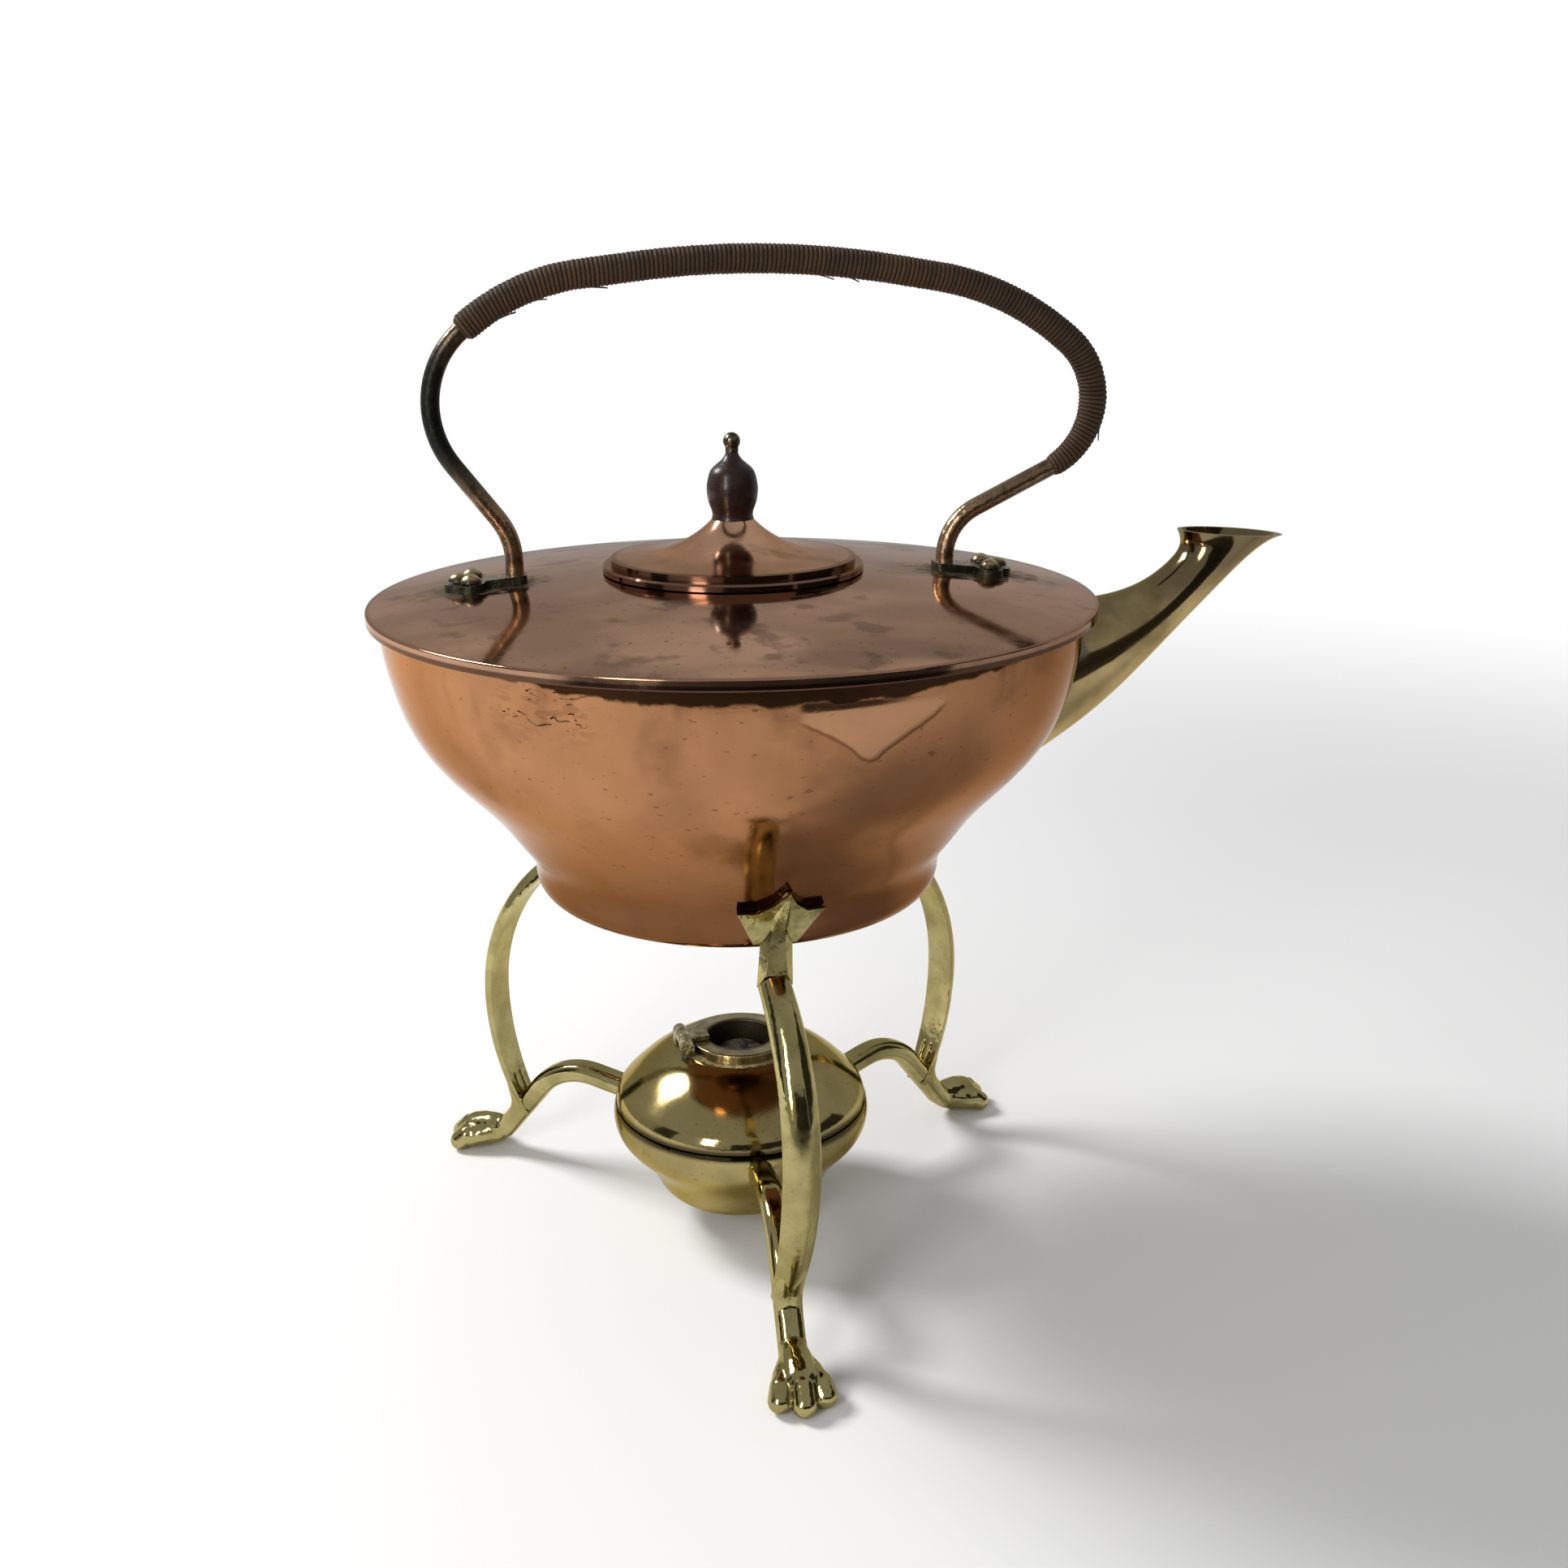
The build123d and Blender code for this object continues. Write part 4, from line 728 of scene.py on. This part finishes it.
cane = Finish("wound_cane", {"Metallic": 0.0, "Specular IOR Level": 0.22})
laid = cane.node("ShaderNodeUVMap", {"uv_map": "winding"}, {})
share_round = cane.node("ShaderNodeSeparateXYZ", {}, {0: laid})
strand = share_round.twin(1) / STRAND + share_round
from_gap = cane.maths("PINGPONG", strand, 0.5) * 2
ridge = cane.between(from_gap, 0.0, 0.5)
gap = 1 - cane.between(from_gap, 0.05, 0.45)
each_turn = cane.maths("FLOOR", strand)
own_shade = cane.node("ShaderNodeTexWhiteNoise", {"noise_dimensions": "1D"}, {"W": each_turn})
grain = cane.mottle(2600, 0.3, 0.7, 4.0, (1, 0.15, 1))
grease = cane.mottle(40, 0.4, 0.65, 5.0)
colour = cane.mix(own_shade, CANE_BROWN, CANE_DARK)
colour = cane.mix(grain * 0.5, colour, CANE_PALE)
colour = cane.mix(grease * 0.65, colour, CANE_GREASY)
colour = cane.mix(gap, colour, CANE_GAP)
cane.drive("Base Color", colour)
cane.drive("Roughness", 0.62 + grain * 0.2 - grease * 0.12)
cane.relief(grain * 0.4 + ridge, 0.00025, 0.6)

grip = bpy.data.objects.new("wound_grip", wound_cane())
scene.collection.objects.link(grip)
grip.data.transform(Matrix.Translation(CENTRE))
grip.data.materials.append(cane.material)
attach(grip, "kettle")
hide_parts("handle_wrap")

# loose ends of fibre: place along the grip as a share, turn about the bar, length in mm
FRAYED = ((0.045, 262, 5.5), (0.052, 276, 4.0), (0.10, 268, 3.6), (0.17, 262, 6.0), (0.175, 279, 4.5),
          (0.46, 270, 5.0), (0.50, 262, 3.5), (0.93, 250, 3.0))
FIBRE = 0.00018              # its radius
# how a fibre lifts off: share of its length, and distance from the bar's middle in metres
FIBRE_LIFT = ((0, 0.0037), (0.4, 0.0040), (0.75, 0.0044), (1.0, 0.0047))
line = evenly(hoop_points(*GRIP_BENDS), TRACE)
for number, (share, angle, length) in enumerate(FRAYED):
    point, ahead = line[int(share * (len(line) - 1))]
    out = ACROSS * cos(radians(angle)) - ahead.cross(ACROSS).normalized() * sin(radians(angle))
    if out.z > 0:
        out = -out
    curve = bpy.data.curves.new(f"frayed_fibre_{number}", "CURVE")
    curve.dimensions = "3D"
    curve.bevel_depth = FIBRE
    curve.bevel_resolution = 2
    strand = curve.splines.new("NURBS")
    strand.points.add(len(FIBRE_LIFT) - 1)
    for place, (along, off) in enumerate(FIBRE_LIFT):
        spot = CENTRE + point + ahead * (along * length / 1000) + out * off
        strand.points[place].co = (*spot, 1)
    strand.order_u = 3
    strand.use_endpoint_u = True
    fibre = bpy.data.objects.new(f"frayed_fibre_{number}", curve)
    scene.collection.objects.link(fibre)
    fibre.data.materials.append(cane.material)
    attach(fibre, "kettle")


# ---- lid ----
# The lift-off lid is spun copper with a stepped edge, and a bezel soldered inside it drops
# into the opening. It is brighter on the cone that rises to the knob.
LID_FLAT = (0.64, 0.390, 0.265, 1)
LID_CONE = (0.90, 0.530, 0.330, 1)
LID_BROWN = (0.33, 0.19, 0.13, 1)
LID_SMUDGE = (0.14, 0.085, 0.065, 1)
LID_STEPS = (0.13, 0.075, 0.052, 1)
CONE_REACH = (0.030, 0.018)          # distance from the axis where the brighter cone begins and is full
STEPS_REACH = (0.0330, 0.0345)       # and where the dull steps do

lid_copper = Finish("lid_copper", {"Metallic": 1.0, "Specular Tint": (0.80, 0.64, 0.52, 1)})
reach, turn, height = lid_copper.around(CENTRE)
rings = lid_copper.node("ShaderNodeCombineXYZ", {}, {0: turn * 0.01, 1: reach, 2: height})
lines = lid_copper.mottle(2400, 0.35, 0.65, 2.0, at=rings)
cloud = lid_copper.mottle(60, 0.3, 0.7, 5.0)
smudge = lid_copper.mottle(90, 0.54, 0.70, 6.0)
cone = lid_copper.between(reach, *CONE_REACH)
steps = lid_copper.between(reach, *STEPS_REACH)
colour = lid_copper.mix(cone, LID_FLAT, LID_CONE)
colour = lid_copper.mix(cloud * 0.5, colour, LID_BROWN)
colour = lid_copper.mix(smudge * 0.4, colour, LID_SMUDGE)
colour = lid_copper.mix(steps * 0.8, colour, LID_STEPS)
lid_copper.drive("Base Color", colour)
lid_copper.drive("Roughness", 0.07 + cloud * 0.05 + smudge * 0.10 + lines * 0.03)
lid_copper.relief(lid_copper.mottle(30, 0.1, 0.9, 1.0) + lines * 0.01, 0.0006, 0.3)
lid_copper.wear_on("lid", "lid_bezel")


# ---- knob ----
# The knob is turned from a dark close-grained wood and waxed. A metal rod with a ball finial
# runs down through it and is held by a washer and a nut inside the lid.
WOOD_RED = (0.030, 0.009, 0.005, 1)
WOOD_DARK = (0.010, 0.004, 0.003, 1)
WOOD_HANDLED = (0.016, 0.008, 0.006, 1)
WOOD_PORE = (0.006, 0.004, 0.003, 1)
FINIAL_RUBBED = (0.16, 0.13, 0.085, 1)
FINIAL_DARK = (0.035, 0.03, 0.022, 1)

wood = Finish("knob_wood", {"Metallic": 0.0, "Coat Roughness": 0.12, "Specular IOR Level": 0.25})
reach, turn, height = wood.around(CENTRE)
grain = wood.mottle(520, 0.3, 0.7, 6.0, (1, 1, 0.10))
pores = wood.mottle(2200, 0.62, 0.72, 2.0, (1, 1, 0.06))
rings = wood.node("ShaderNodeCombineXYZ", {}, {0: turn * 0.002, 1: reach * 0.2, 2: height})
tool_marks = wood.mottle(1500, 0.35, 0.65, 2.0, at=rings)
hand_wear_and_side_reflection = wood.mottle(150, 0.4, 0.65)
colour = wood.mix(grain, WOOD_RED, WOOD_DARK)
colour = wood.mix(hand_wear_and_side_reflection * 0.5, colour, WOOD_HANDLED)
colour = wood.mix(pores * 0.8, colour, WOOD_PORE)
wood.drive("Base Color", colour)
wood.drive("Roughness", 0.30 + grain * 0.12 + pores * 0.2)
wood.drive("Coat Weight", 0.26 - hand_wear_and_side_reflection * 0.16)
wood.relief(tool_marks * 0.3 + grain * 0.3 - pores * 0.5, 0.00015, 0.5)
wood.wear_on("lid_knob")

finial_metal = Finish("finial_metal", {"Metallic": 1.0})
cloud = finial_metal.mottle(500, 0.35, 0.65, 4.0)
finial_metal.drive("Base Color", finial_metal.mix(cloud, FINIAL_RUBBED, FINIAL_DARK))
finial_metal.drive("Roughness", 0.22 + cloud * 0.25)
finial_metal.relief(finial_metal.mottle(1300, 0.2, 0.8, 2.0), 0.0002, 0.4)
finial_metal.wear_on("knob_stud", "knob_washer", "knob_nut")


# ---- studio ----
# A plain pale floor that fades to white, a large soft lamp high on the left and behind, a
# second soft lamp in front on the left, and dark cards out of sight that the metal mirrors.
FLOOR_HALF = 8
FLOOR_HEIGHT = -0.0001
FLOOR_FADE = (0.45, 1.1)             # distance from the object where white begins, and where it is full
ROOM_LIGHT = 0.42                    # what the room gives the object; the camera sees it as white
WHITE = (1, 1, 1, 1)
PAPER = (0.84, 0.84, 0.84, 1)
CARD = (0.03, 0.028, 0.026, 1)

paper = Finish("pale_floor", {"Base Color": PAPER, "Roughness": 0.9, "Specular IOR Level": 0.1})
seen = paper.node("ShaderNodeLightPath", {}, {}, "Is Camera Ray")
away = paper.node("ShaderNodeVectorMath", {"operation": "LENGTH"}, {0: paper.place}, "Value")
fade = paper.between(away, *FLOOR_FADE) * seen
matt = Tone(paper, paper.shader.outputs[0])
glow = paper.node("ShaderNodeEmission", {}, {"Color": WHITE})
surface = paper.node("ShaderNodeMixShader", {}, {0: fade, 1: matt, 2: glow})
paper.tree.links.new(surface.socket, paper.tree.nodes["Material Output"].inputs["Surface"])


def sheet(name, finish, corners):
    """A flat four-cornered sheet for the studio."""
    piece = bpy.data.objects.new(name, bpy.data.meshes.new(name))
    scene.collection.objects.link(piece)
    piece.data.from_pydata(corners, [], [(0, 1, 2, 3)])
    piece.data.materials.append(finish.material)
    return piece


sheet("floor", paper, [(x * FLOOR_HALF, y * FLOOR_HALF, FLOOR_HEIGHT)
                       for x, y in ((-1, -1), (1, -1), (1, 1), (-1, 1))])

room = Finish("room", {"Color": WHITE}, bpy.data.worlds, "Background")
seen = room.node("ShaderNodeLightPath", {}, {}, "Is Camera Ray")
room.drive("Strength", room.node("ShaderNodeMapRange", {}, {"Value": seen, "To Min": ROOM_LIGHT}))
scene.world = room.material


def soft_lamp(name, place, target, width, height, watts):
    """A rectangular soft lamp that faces a point."""
    lamp = bpy.data.lights.new(name, "AREA")
    lamp.shape = "RECTANGLE"
    lamp.size = width
    lamp.size_y = height
    lamp.energy = watts
    holder = bpy.data.objects.new(name, lamp)
    scene.collection.objects.link(holder)
    holder.location = place
    holder.rotation_euler = (Vector(target) - Vector(place)).to_track_quat("-Z", "Y").to_euler()


soft_lamp("window", place=(-1.0, 0.55, 1.15), target=(0, 0, 0.1), width=0.45, height=0.45, watts=22)
soft_lamp("front_fill", place=(-0.75, -0.95, 0.55), target=(0, 0, 0.12), width=0.26, height=0.68, watts=6.0)

# each card's corners, in metres: one lies in front, and three stand behind the camera and at the sides
CARDS = {
    "card_front": [(-0.9, -0.50, 0.001), (2.5, -0.50, 0.001), (2.5, -3.0, 0.001), (-0.9, -3.0, 0.001)],
    "card_behind_camera": [(-0.45, -1.5, 0.0), (1.3, -1.3, 0.0), (1.3, -1.3, 0.55), (-0.45, -1.5, 0.55)],
    "card_right": [(1.0, -0.9, 0.0), (1.25, 0.15, 0.0), (1.25, 0.15, 0.8), (1.0, -0.9, 0.8)],
    "card_left": [(-1.25, -0.05, 0.0), (-1.15, -0.45, 0.0), (-1.15, -0.45, 0.9), (-1.25, -0.05, 0.9)],
}
dark = Finish("dark_card", {"Base Color": CARD, "Roughness": 1.0})
for name, corners in CARDS.items():
    card = sheet(name, dark, corners)
    card.visible_camera = False
    card.visible_diffuse = False
    card.visible_shadow = False

SENSOR = 36                          # in mm, as the lens is
LENS = 38.12
CAMERA_PLACE = (-0.05265, -0.47694, 0.29476)
CAMERA_AHEAD = (0.1331, 0.9447, -0.2998)
CAMERA_ROLL = -0.0050                # in radians
view = bpy.data.cameras.new("view")
view.sensor_width = SENSOR
view.lens = LENS
camera = bpy.data.objects.new("view", view)
scene.collection.objects.link(camera)
level = Vector(CAMERA_AHEAD).normalized().to_track_quat("-Z", "Y").to_matrix().to_4x4()
stand_at = Matrix.Translation(CENTRE + Vector(CAMERA_PLACE))
camera.matrix_world = stand_at @ level @ Matrix.Rotation(CAMERA_ROLL, 4, "Z")
scene.camera = camera
scene.view_settings.view_transform = "Standard"
